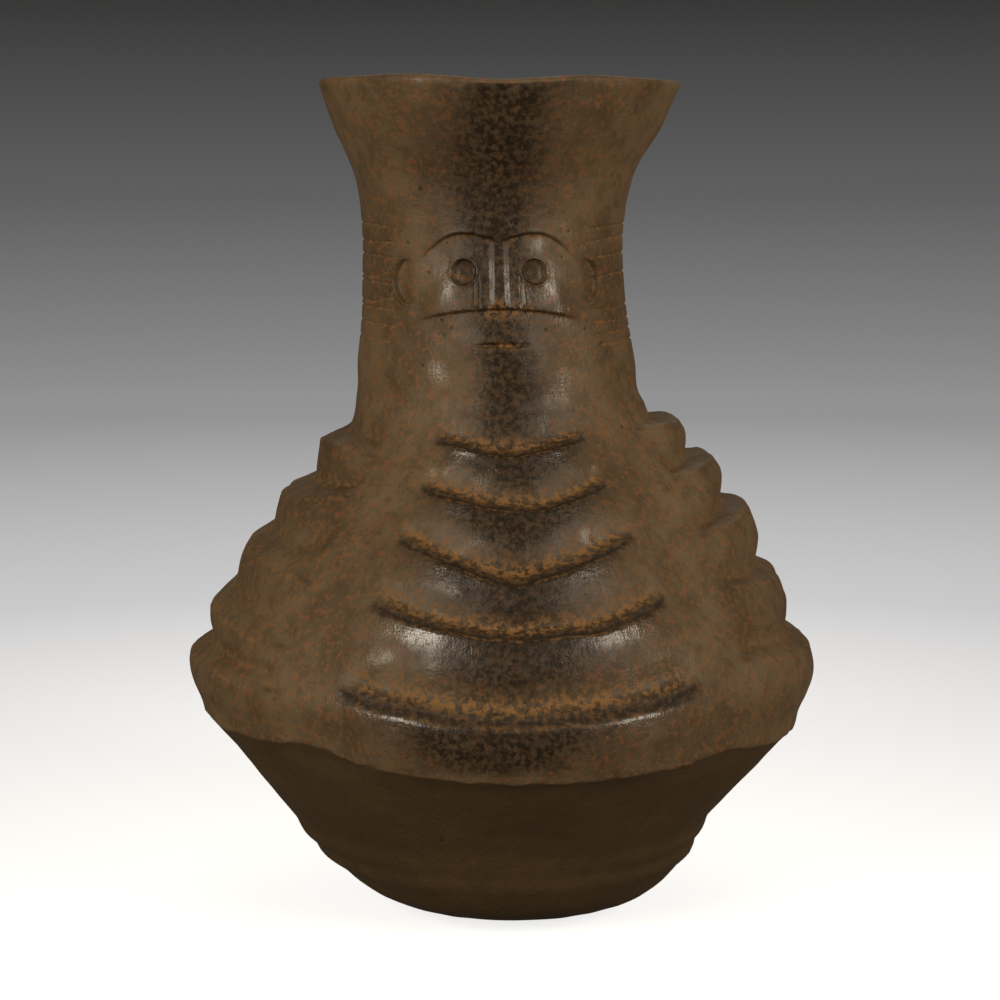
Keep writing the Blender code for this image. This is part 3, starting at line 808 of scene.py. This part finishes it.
def outer_surface(azimuth, sizes):
    """Rows of vertices up the outer wall, with the carving and every smaller mark.

    The second result holds the masks for the clay's colour and shine, by name.
    """
    outline = outer_outline()
    along = arc_lengths(outline)
    lengths = row_lengths(outline)
    base = sampled(outline, along, lengths)
    normals = sampled(outward_normals(outline), along, lengths)
    radius, height = base[:, :1], base[:, 1:]
    points = placed(radius, height, azimuth)
    wall = Wall(azimuth, height, height + belly_shift(azimuth, height), points)

    wander = RIB_WANDER * grain(points, RIB_WANDER_SPACING, SEED + 1)
    wander = wander + RIB_NICK * grain(points, RIB_NICK_SPACING, SEED + 2)
    wandering = wall.lifted + wander * on_shoulder(wall.lifted)
    carving = shoulder_carving(azimuth, wandering)
    carving = carving + face_carving(azimuth, wall.lifted) + bowl_carving(azimuth, height)

    marks = wall_marks(wall, wandering, sizes)
    relief = carving + hand_shaping(wall, marks, sizes)
    surface = placed(radius + normals[:, :1] * relief, height + normals[:, 1:] * relief, azimuth)
    surface[..., 2] = np.maximum(surface[..., 2], 0.0)
    return surface, wall_looks(wall, relief, marks)


def wall_looks(wall, relief, marks):
    """Masks for the clay's colour and shine, from 0 to 1."""
    across = across_face(wall.azimuth)
    window = round(HOLLOW_WINDOW / RIB_STEP)
    sunk = blurred(relief, window, window) - relief
    sunk = sunk * smoothstep(wall.height, BELLY_HEIGHT, BELLY_HEIGHT + NORMAL_BLEND)
    edges = np.clip(-sunk / EDGE_HEIGHT, 0.0, 1.0) * (1.0 - SIDE_EDGE_LOSS * marks["beside"])
    # Painted shade with dirt: the band round each crease and the eye hollows are darkened
    dirt_and_shade = DIRT_AND_SHADE_STRENGTH * np.maximum(marks["dirt_and_shade"], eye_hollow(across, wall.lifted))
    looks = {
        "dust": wall_dust(across, wall.lifted, sunk, marks),
        "edge": edges * marks["skin"],
        # The crease mask darkens the creases, the eye hollows and the worn pits, as dirt and painted
        # shade
        "crease": np.maximum(marks["creases"], dirt_and_shade) + marks["pits"] / PIT_RADII[1],
        "skin": np.broadcast_to(marks["skin"], relief.shape),
        "patina": wall_patina(across, wall, marks),
        "bright": wall_shine(across, wall, marks),
    }
    return {name: np.clip(value, 0.0, 1.0) for name, value in looks.items()}


def wall_dust(across, height, sunk, marks):
    """Dust in hollows and scratches, on the treads and on the face, less of it in the creases' dirt and
    painted shade.
    """
    dust = np.clip(sunk / HOLLOW_DUST_DEPTH, 0.0, HOLLOW_DUST) + TREAD_DUST * marks["treads"]
    dust = dust + marks["scratches"] + face_dust(across, height)
    return np.clip(dust, 0.0, 1.0) * (1.0 - DIRT_AND_SHADE_OVER_DUST * marks["dirt_and_shade"])


def wall_patina(across, wall, marks):
    """The black band up the front, darkest under the noses with soot and painted shade, with sooty
    treads and a sooty face.
    """
    soot_and_shade_under_noses = np.where(wall.height < YOKE_HEIGHT, marks["soot"], PATINA_ON_NECK)
    band = front_patina(wall.azimuth, wall.lifted)
    # Painted shade with the soot: the band grows darker just under each nose
    band = band * (PATINA_LEAST + PATINA_AND_SHADE_UNDER_NOSES * soot_and_shade_under_noses)
    treads = PATINA_ON_TREADS * marks["treads"] * (1.0 - marks["beside"])
    return np.maximum.reduce([band, treads, face_soot(across, wall.lifted)])


def wall_shine(across, wall, marks):
    """Rubbed noses and face, and fainter patches away from the treads and the side panels."""
    patches = smoothstep(grain(wall.points, RUBBED_SPACING, SEED + 7), RUBBED_LOW, RUBBED_HIGH)
    patches = patches * marks["skin"] * (1.0 - marks["beside"]) * (1.0 - marks["treads"])
    return marks["bright"] + RUBBED_SHINE * patches + face_shine(across, wall.lifted)


def face_dust(across, height):
    """Orange dust under the nose, in the mouth and in the eyes."""
    under_nose = bump(across, 0.0, NOSTRIL_SPREAD) * bump(height, CHEEK_HEIGHT, NOSE_DUST_REACH)
    lips = bump(across, 0.0, MOUTH_WIDTH / 2) * bump(height, MOUTH_HEIGHT, MOUTH_OPENING)
    return NOSE_DUST * under_nose + EYE_DUST * eye_hollow(across, height) + LIP_DUST * lips


def front_patina(azimuth, height):
    """Where hands and offerings left the front black: a band up its middle."""
    width = np.interp(height, PATINA_HEIGHTS, PATINA_WIDTHS)
    turn = turn_from(azimuth, np.interp(height, PATINA_HEIGHTS, PATINA_TURNS))
    band = np.exp(-((turn / width) ** 2))
    return band * smoothstep(height, BELLY_HEIGHT - BELLY_SAG, BELLY_HEIGHT + BELLY_SAG)


def face_shine(across, height):
    """Polish on the nose's flanks, the cheeks, the nostrils' outer sides and the eyes' rims."""
    beside_nose = bump(height, CHEEK_HEIGHT + EYE_RADIUS, 2.2 * EYE_RADIUS)
    flanks = bump(across, 0.38 * NOSE_WIDTH, 0.2 * NOSE_WIDTH) * beside_nose
    cheeks = cheek_bulge(across, height, CHEEK_HEIGHT)
    outside = bump(across, NOSTRIL_SPREAD / 2 + 2 * FACE_EDGE, 2 * FACE_EDGE) * beside_nose
    rims = bump(from_eye(across, height), EYE_RADIUS + EYE_RIM, 2 * EYE_RIM)
    shine = FLANK_SHINE * flanks + CHEEK_SHINE * cheeks
    return shine + NOSTRIL_SHINE * outside + EYE_RIM_SHINE * rims


def face_soot(across, height):
    """Black on the flat top of the nose, on the brows and under the mouth, but not in the eyes."""
    nose_top = smoothstep(across, 0.3 * NOSE_WIDTH, 0.22 * NOSE_WIDTH)
    nose_top = nose_top * smoothstep(height, CHEEK_HEIGHT - FACE_EDGE, CHEEK_HEIGHT)
    nose_top = nose_top * smoothstep(height, BROW_HEIGHT, BROW_HEIGHT - BROW_DROP_INSIDE)
    chin = bump(across, 0.0, MOUTH_WIDTH / 2) * bump(height, MOUTH_HEIGHT - CHIN_DROP, CHIN_REACH)
    brows = bump(height, BROW_HEIGHT - BROW_DROP_OUTSIDE, 2 * BROW_DROP_OUTSIDE)
    brows = brows * smoothstep(across, CHEEK_SPREAD, CHEEK_SPREAD - CHEEK_FADE)
    black = np.maximum.reduce([nose_top, chin, BROW_SOOT * brows])
    return black * (1.0 - eye_hollow(across, height))


def plain_surface(outline, azimuth):
    """Rows of vertices along the lip or the cavity, with the marks of fingers only."""
    rows = placed(outline[:, :1], outline[:, 1:], azimuth)
    shaping = FINGER_DEPTH * grain(rows, FINGER_SPACING, SEED + 3)
    inward = np.stack([-np.sin(azimuth), np.cos(azimuth), np.zeros_like(azimuth)], axis=-1)
    steady = smoothstep(outline[:, 1:], RIM_HEIGHT - LIP, RIM_HEIGHT - 4 * LIP)
    return rows + inward * (shaping * steady)[..., None]


def add_layer(mesh, name, values):
    """Stores one value for each vertex, for the material to read."""
    layer = mesh.attributes.new(name, "FLOAT", "POINT")
    layer.data.foreach_set("value", values)


def wall_mesh(sizes):
    """The whole clay wall as one closed mesh of rings, from the sole to the cavity's floor."""
    azimuth = column_azimuths()
    outline = outer_outline()
    cavity = cavity_outline(outline, outward_normals(outline))
    outer, looks = outer_surface(azimuth, sizes)
    lip = plain_surface(lip_arc(), azimuth)
    inner = plain_surface(cavity, azimuth)
    rings = np.concatenate([outer, lip, inner])
    row_count, column_count = rings.shape[:2]
    under = row_count * column_count
    middle = under + 1
    poles = [(lean(height), 0.0, height) for height in (0.0, FLOOR)]
    vertices = rings.reshape(-1, 3).tolist() + poles
    faces = []
    for column in range(column_count):
        beside = (column + 1) % column_count
        faces.append((under, beside, column))
        for row in range(row_count - 1):
            low = row * column_count
            high = low + column_count
            faces.append((low + column, low + beside, high + beside, high + column))
        top = (row_count - 1) * column_count
        faces.append((top + column, top + beside, middle))
    mesh = bpy.data.meshes.new("pot clay")
    mesh.from_pydata(vertices, [], faces)
    plain_rows = row_count - len(outer)
    for name, values in looks.items():
        rest = np.full((plain_rows, column_count), 1.0 if name == "skin" else 0.0)
        add_layer(mesh, name, np.append(np.concatenate([values, rest]), [0.0, 0.0]))
    inside = np.repeat([0.0, 1.0], [len(outer) + len(lip), len(inner)])
    add_layer(mesh, "inside", np.append(np.repeat(inside, column_count), [0.0, 1.0]))
    mesh.shade_smooth()
    return mesh


def linear(hex_colour):
    """An sRGB hex colour as Blender's linear red, green, blue and alpha."""
    channels = [int(hex_colour[i:i + 2], 16) / 255 for i in (1, 3, 5)]
    light = [c / 12.92 if c <= 0.04045 else ((c + 0.055) / 1.055) ** 2.4 for c in channels]
    return (*light, 1.0)


def add_node(tree, kind, settings=(), inputs=(), output=0):
    """Adds a node with its settings, its input values and its links, and gives one output."""
    node = tree.nodes.new(kind)
    for name, value in dict(settings).items():
        setattr(node, name, value)
    for socket, value in dict(inputs).items():
        if isinstance(value, bpy.types.NodeSocket):
            tree.links.new(value, node.inputs[socket])
        else:
            node.inputs[socket].default_value = value
    return node.outputs[output] if node.outputs else node


def new_material(name):
    """A material with an empty node tree."""
    material = bpy.data.materials.new(name)
    material.use_nodes = True
    material.node_tree.nodes.clear()
    return material, material.node_tree


def burnished_earthenware(colours):
    """Low-fired earthenware, rubbed with a pebble before firing and darkened by smoke and oil.

    The burnished skin has a soft broken shine. Dry brown dust lies on its treads and in its
    hollows, its creases are dark, and the bowl under the belly edge was left matte.
    """
    material, tree = new_material("burnished earthenware")
    marks = {
        name: add_node(tree, "ShaderNodeAttribute", {"attribute_name": name}, output="Fac")
        for name in ("dust", "edge", "crease", "skin", "patina", "bright", "inside")
    }
    patterns = clay_patterns(tree)
    shares = finish_shares(tree, marks, patterns)
    normal = fine_relief(tree, patterns)
    # The coat is oil that handling left on the rubbed noses, cheeks and rims, broken by the streaks
    inputs = {
        "Base Color": clay_colour(tree, colours, marks, shares),
        "Roughness": clay_roughness(tree, marks, shares),
        "IOR": 1.4,
        "Specular IOR Level": 0.28,
        "Normal": normal,
        "Coat Weight": shares["gloss"],
        "Coat Roughness": 0.2,
        "Coat Normal": normal,
    }
    surface = add_node(tree, "ShaderNodeBsdfPrincipled", inputs=inputs)
    add_node(tree, "ShaderNodeOutputMaterial", inputs={"Surface": surface})
    return material


def clay_patterns(tree):
    """Noise patterns with the real spacing of their bumps.

    They are fire clouds, the burnishing's shiny patches, soot blotches, finger-tip mottling, crumbs
    of dust, strokes of the pebble round the pot, streaks down it, and grit.
    """
    where = add_node(tree, "ShaderNodeTexCoord", output="Object")
    stretched = {"vector_type": "TEXTURE"}
    stroked, streaked = (
        add_node(tree, "ShaderNodeMapping", stretched, {"Vector": where, "Scale": scale})
        for scale in ((3.0, 3.0, 1.0), (1.0, 1.0, 4.0))
    )
    patterns = {}
    for name, vector, spacing, detail in (
        ("clouds", where, 60 * MM, 3.0),
        ("polish", where, 22 * MM, 4.0),
        ("soot", where, 3 * MM, 9.0),
        ("mottle", where, 10 * MM, 6.0),
        ("crumbs", where, 3.4 * MM, 6.0),
        ("strokes", stroked, 2 * MM, 3.0),
        ("streaks", streaked, 2.2 * MM, 4.0),
        ("grit", where, 1.3 * MM, 3.0),
    ):
        inputs = {"Vector": vector, "Scale": 1.0 / spacing, "Detail": detail, "Roughness": 0.6}
        patterns[name] = add_node(tree, "ShaderNodeTexNoise", inputs=inputs)
    return patterns


def finish_shares(tree, marks, patterns):
    """Share of the surface that each finish covers, eased between two levels of its pattern.

    The finishes that follow a mark are held to it.
    """
    shares = {}
    for name, pattern, low, high, least, most in (
        ("smoked", "clouds", 0.35, 0.7, 0.0, 0.7),
        ("mottled", "mottle", 0.42, 0.66, 0.0, 0.5),
        ("sooty", "soot", 0.38, 0.6, 0.62, 1.0),
        ("dusty", "crumbs", 0.45, 0.57, 0.05, 0.9),
        ("warm", "crumbs", 0.5, 0.62, 0.0, 0.55),
        ("light specks", "grit", 0.56, 0.68, 0.0, 0.12),
        ("dark specks", "grit", 0.42, 0.3, 0.0, 0.4),
        ("polished", "polish", 0.45, 0.62, 0.0, 0.7),
        ("broken", "streaks", 0.38, 0.52, 0.25, 1.0),
    ):
        inputs = {"Value": patterns[pattern], "From Min": low, "From Max": high}
        inputs.update({"To Min": least, "To Max": most})
        shares[name] = add_node(
            tree, "ShaderNodeMapRange", {"interpolation_type": "SMOOTHSTEP"}, inputs
        )
    for name, first, second in (
        ("black", marks["patina"], shares["sooty"]),
        ("dust", marks["dust"], shares["dusty"]),
        ("shine", marks["skin"], shares["polished"]),
        ("rubbed", marks["edge"], 0.4),
        ("dirt and painted shade", marks["crease"], shares["sooty"]),
        ("gloss", marks["bright"], shares["broken"]),
        ("warm", marks["skin"], shares["warm"]),
    ):
        shares[name] = add_node(tree, "ShaderNodeMath", {"operation": "MULTIPLY"}, {0: first, 1: second})
    return shares


def clay_colour(tree, colours, marks, shares):
    """The bowl's bare clay, with each finish laid over what is under it."""
    clay = colours.bowl
    for share, layer in (
        (marks["skin"], colours.clay),
        (shares["smoked"], colours.clay_dark),
        (shares["mottled"], colours.clay_dark),
        (shares["warm"], colours.rust),
        (shares["rubbed"], colours.patina),
        (shares["black"], colours.patina),
        (shares["dust"], colours.dust),
        (shares["light specks"], colours.dust),
        (shares["dark specks"], colours.patina),
        # Painted shade with dirt: dark clay in the creases, the eye hollows and the worn pits
        (shares["dirt and painted shade"], colours.patina),
        (marks["inside"], colours.clay_dark),
    ):
        clay = add_node(tree, "ShaderNodeMix", {"data_type": "RGBA"}, {0: share, 6: clay, 7: layer}, 2)
    return clay


def clay_roughness(tree, marks, shares):
    """Roughness of the plain clay, and of each finish laid over it."""
    rough = 0.66
    for share, layer in (
        (shares["shine"], 0.42),
        (shares["rubbed"], 0.32),
        (shares["black"], 0.4),
        (shares["gloss"], 0.26),
        (shares["dust"], 0.85),
        (shares["dirt and painted shade"], 0.8),
        (marks["inside"], 0.8),
    ):
        rough = add_node(tree, "ShaderNodeMix", {"data_type": "FLOAT"}, {0: share, 2: rough, 3: layer})
    return rough


def fine_relief(tree, patterns):
    """Relief that is too fine for the mesh."""
    height = 0.0
    for name in ("strokes", "streaks", "grit", "mottle"):
        height = add_node(tree, "ShaderNodeMath", {"operation": "ADD"}, {0: height, 1: patterns[name]})
    inputs = {"Height": height, "Distance": 0.25 * MM, "Strength": 0.7}
    return add_node(tree, "ShaderNodeBump", inputs=inputs)


def sweep_paper(tones):
    """Matte seamless paper with a painted light falloff: it glows white under the pot and grey further
    from it. The painted glow is most of its tone, so the backdrop stays even, and the rest takes the
    lamps' light and the pot's shadow.
    """
    material, tree = new_material("seamless paper")
    along = add_node(tree, "ShaderNodeAttribute", {"attribute_name": "along"}, output="Fac")
    painted_falloff = add_node(tree, "ShaderNodeValToRGB", inputs={"Fac": along})
    elements = painted_falloff.node.color_ramp.elements
    elements[0].position, elements[0].color = 0.06, tones.floor
    elements[1].position, elements[1].color = 0.885, tones.wall_top
    for position, colour in (
        (0.275, tones.floor_behind),
        (0.445, tones.floor_far),
        (0.69, tones.wall_foot),
        (0.8, tones.wall_middle),
    ):
        elements.new(position).color = colour
    shares = {0: LIT_SHARE, 6: (0.0, 0.0, 0.0, 1.0), 7: painted_falloff}
    lit_tone = add_node(tree, "ShaderNodeMix", {"data_type": "RGBA"}, shares, 2)
    # Painted light: the paper glows with its falloff tone
    glow = add_node(tree, "ShaderNodeEmission", inputs={"Color": painted_falloff, "Strength": PAINTED_GLOW_SHARE})
    lit = add_node(tree, "ShaderNodeBsdfDiffuse", inputs={"Color": lit_tone})
    both = add_node(tree, "ShaderNodeAddShader", inputs={0: glow, 1: lit})
    add_node(tree, "ShaderNodeOutputMaterial", inputs={"Surface": both})
    return material


def link(item):
    bpy.context.scene.collection.objects.link(item)
    return item


def soft_light(box, power):
    """A soft box that faces the middle of the shoulder."""
    light = bpy.data.lights.new(box.name, "AREA")
    light.shape = "RECTANGLE"
    light.size = box.width
    light.size_y = box.height
    light.energy = box.share * power
    light.color = linear(LIGHT_COLOUR)[:3]
    lamp = link(bpy.data.objects.new(box.name, light))
    across = LIGHT_DISTANCE * math.cos(box.elevation)
    middle = Vector((0.0, 0.0, SHOULDER_HEIGHT))
    offset = Vector((
        across * math.sin(box.turn),
        -across * math.cos(box.turn),
        LIGHT_DISTANCE * math.sin(box.elevation),
    ))
    lamp.location = middle + offset
    lamp.rotation_euler = (-offset).to_track_quat("-Z", "Y").to_euler()


def colour_property(name, description, hex_colour):
    return FloatVectorProperty(
        name=name,
        description=description,
        subtype="COLOR",
        size=4,
        min=0.0,
        max=1.0,
        default=linear(hex_colour),
    )


def length_property(name, description, default):
    return FloatProperty(
        name=name,
        description=description,
        default=default,
        min=0.2 * MM,
        unit="LENGTH",
    )


class PotClaySettings(bpy.types.PropertyGroup):
    """Sizes of the finest marks, and the colours of the clay"""

    scratch_width: length_property("Scratch width", "Width of the lines on the neck", 2.4 * MM)
    scratch_depth: length_property("Scratch depth", "Depth of the lines on the neck", 0.9 * MM)
    pit_depth: FloatProperty(
        name="Pit depth",
        description="Depth of the worn pits, as a share of their radius",
        default=0.6,
        min=0.0,
        max=1.0,
        subtype="FACTOR",
    )
    triangles: IntProperty(
        name="Triangles",
        description="Number of triangles that the finished wall keeps",
        default=190000,
        min=10000,
        max=199000,
    )
    clay: colour_property("Clay", "Burnished clay where it is lightest", "#594a36")
    clay_dark: colour_property("Smoked clay", "Clay that smoke darkened", "#3a2c1c")
    bowl: colour_property("Bowl", "Matte clay under the belly edge", "#46351f")
    patina: colour_property("Patina", "Oil and soot worn smooth", "#1a130c")
    dust: colour_property("Dust", "Dry earth in the hollows", "#6b4d2b")
    rust: colour_property("Rust", "Red earth rubbed into the burnished skin", "#6d4526")


class PotStageSettings(bpy.types.PropertyGroup):
    """Tones of the sweep's painted light falloff, power of the lights and the camera's lens"""

    floor: colour_property("Floor", "Paper under the pot", "#ffffff")
    floor_behind: colour_property("Floor behind", "Paper a step behind the pot", "#c8cacf")
    floor_far: colour_property("Far floor", "Paper well behind the pot", "#b6b7ba")
    wall_foot: colour_property("Wall foot", "Paper where it curves up", "#97989b")
    wall_middle: colour_property("Wall middle", "Paper halfway up its curve", "#626265")
    wall_top: colour_property("Wall top", "Paper at the top of the picture", "#373737")
    light_power: FloatProperty(
        name="Light power",
        description="Power that each soft box takes its share of",
        default=32.0,
        min=0.0,
        unit="POWER",
    )
    lens: FloatProperty(
        name="Lens",
        description="Focal length of the camera",
        default=CAMERA_LENS,
        min=10.0,
        unit="CAMERA",
    )


class POT_OT_clay(bpy.types.Operator):
    """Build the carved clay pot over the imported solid"""

    bl_idname = "pot.clay"
    bl_label = "Clay pot"

    def execute(self, context):
        settings = context.scene.pot_clay
        mesh = wall_mesh(settings)
        mesh.materials.append(burnished_earthenware(settings))
        piece = link(bpy.data.objects.new("pot_clay", mesh))
        mesh.calc_loop_triangles()
        thin = piece.modifiers.new("thin out", "DECIMATE")
        thin.ratio = settings.triangles / len(mesh.loop_triangles)
        thin.use_collapse_triangulate = True
        context.view_layer.objects.active = piece
        bpy.ops.object.modifier_apply(modifier=thin.name)
        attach(piece, "root")
        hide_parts(POT_NODE)
        return {"FINISHED"}


class POT_OT_stage(bpy.types.Operator):
    """Build the paper sweep, the soft lights and the camera"""

    bl_idname = "pot.stage"
    bl_label = "Studio stage"

    def execute(self, context):
        settings = context.scene.pot_stage
        build_sweep(settings)
        build_lights(settings)
        build_camera(settings)
        context.scene.view_settings.view_transform = "Standard"
        return {"FINISHED"}


def build_sweep(settings):
    """A round floor that curves up all round, so that every side has the same backdrop."""
    angles = np.linspace(0.0, math.pi / 2, 12)
    profile = [(SWEEP_FLOOR * share, 0.0) for share in (0.1, 0.3, 0.5, 0.75)]
    profile += [
        (SWEEP_FLOOR + SWEEP_CURVE * math.sin(a), SWEEP_CURVE * (1.0 - math.cos(a))) for a in angles
    ]
    profile.append((SWEEP_FLOOR + SWEEP_CURVE, SWEEP_WALL))
    profile = np.array(profile)
    turns = np.linspace(0.0, 2 * math.pi, 96, endpoint=False)
    rings = [[(r * math.sin(t), -r * math.cos(t), z) for t in turns] for r, z in profile]
    vertices = [(0.0, 0.0, 0.0)] + [point for ring in rings for point in ring]
    faces = []
    for column in range(len(turns)):
        beside = (column + 1) % len(turns)
        faces.append((0, 1 + column, 1 + beside))
        for row in range(len(profile) - 1):
            low = 1 + row * len(turns)
            high = low + len(turns)
            faces.append((low + column, high + column, high + beside, low + beside))
    mesh = bpy.data.meshes.new("sweep")
    mesh.from_pydata(vertices, [], faces)
    along = profile[0, 0] + arc_lengths(profile)
    shares = along / (SWEEP_FLOOR + SWEEP_CURVE + SWEEP_WALL / 2)
    add_layer(mesh, "along", np.append([0.0], np.repeat(shares, len(turns))))
    mesh.shade_smooth()
    mesh.materials.append(sweep_paper(settings))
    sweep = link(bpy.data.objects.new("sweep", mesh))
    sweep.visible_diffuse = False
    sweep.visible_glossy = False


def build_lights(settings):
    """A low soft box on either side in front, a weaker one behind, and an even dim room."""
    for box in SOFT_BOXES:
        soft_light(box, settings.light_power)
    world = bpy.data.worlds.new("room")
    world.use_nodes = True
    background = world.node_tree.nodes["Background"]
    background.inputs["Color"].default_value = linear(ROOM_COLOUR)
    background.inputs["Strength"].default_value = ROOM_LIGHT
    bpy.context.scene.world = world


def build_camera(settings):
    """The camera that sees the pot as the photograph does."""
    data = bpy.data.cameras.new("camera")
    data.lens = settings.lens
    camera = link(bpy.data.objects.new("camera", data))
    camera.location = (0.0, -CAMERA_DISTANCE, CAMERA_HEIGHT)
    aim = Vector((0.0, 0.0, CAMERA_AIM)) - camera.location
    camera.rotation_euler = aim.to_track_quat("-Z", "Y").to_euler()
    bpy.context.scene.camera = camera


class POT_PT_panel(bpy.types.Panel):
    """The pot's sizes, colours and build steps"""

    bl_idname = "POT_PT_panel"
    bl_label = "Ceremonial pot"
    bl_space_type = "VIEW_3D"
    bl_region_type = "UI"
    bl_category = "Pot"

    def draw(self, context):
        for settings, operator in (
            (context.scene.pot_clay, POT_OT_clay),
            (context.scene.pot_stage, POT_OT_stage),
        ):
            box = self.layout.box()
            for name in settings.__annotations__:
                box.prop(settings, name)
            box.operator(operator.bl_idname)


CLASSES = (PotClaySettings, PotStageSettings, POT_OT_clay, POT_OT_stage, POT_PT_panel)


def register():
    for item in CLASSES:
        bpy.utils.register_class(item)
    bpy.types.Scene.pot_clay = PointerProperty(type=PotClaySettings)
    bpy.types.Scene.pot_stage = PointerProperty(type=PotStageSettings)


def unregister():
    del bpy.types.Scene.pot_stage
    del bpy.types.Scene.pot_clay
    for item in reversed(CLASSES):
        bpy.utils.unregister_class(item)


def main():
    register()
    bpy.ops.pot.clay()
    bpy.ops.pot.stage()


if __name__ == "__main__":
    main()
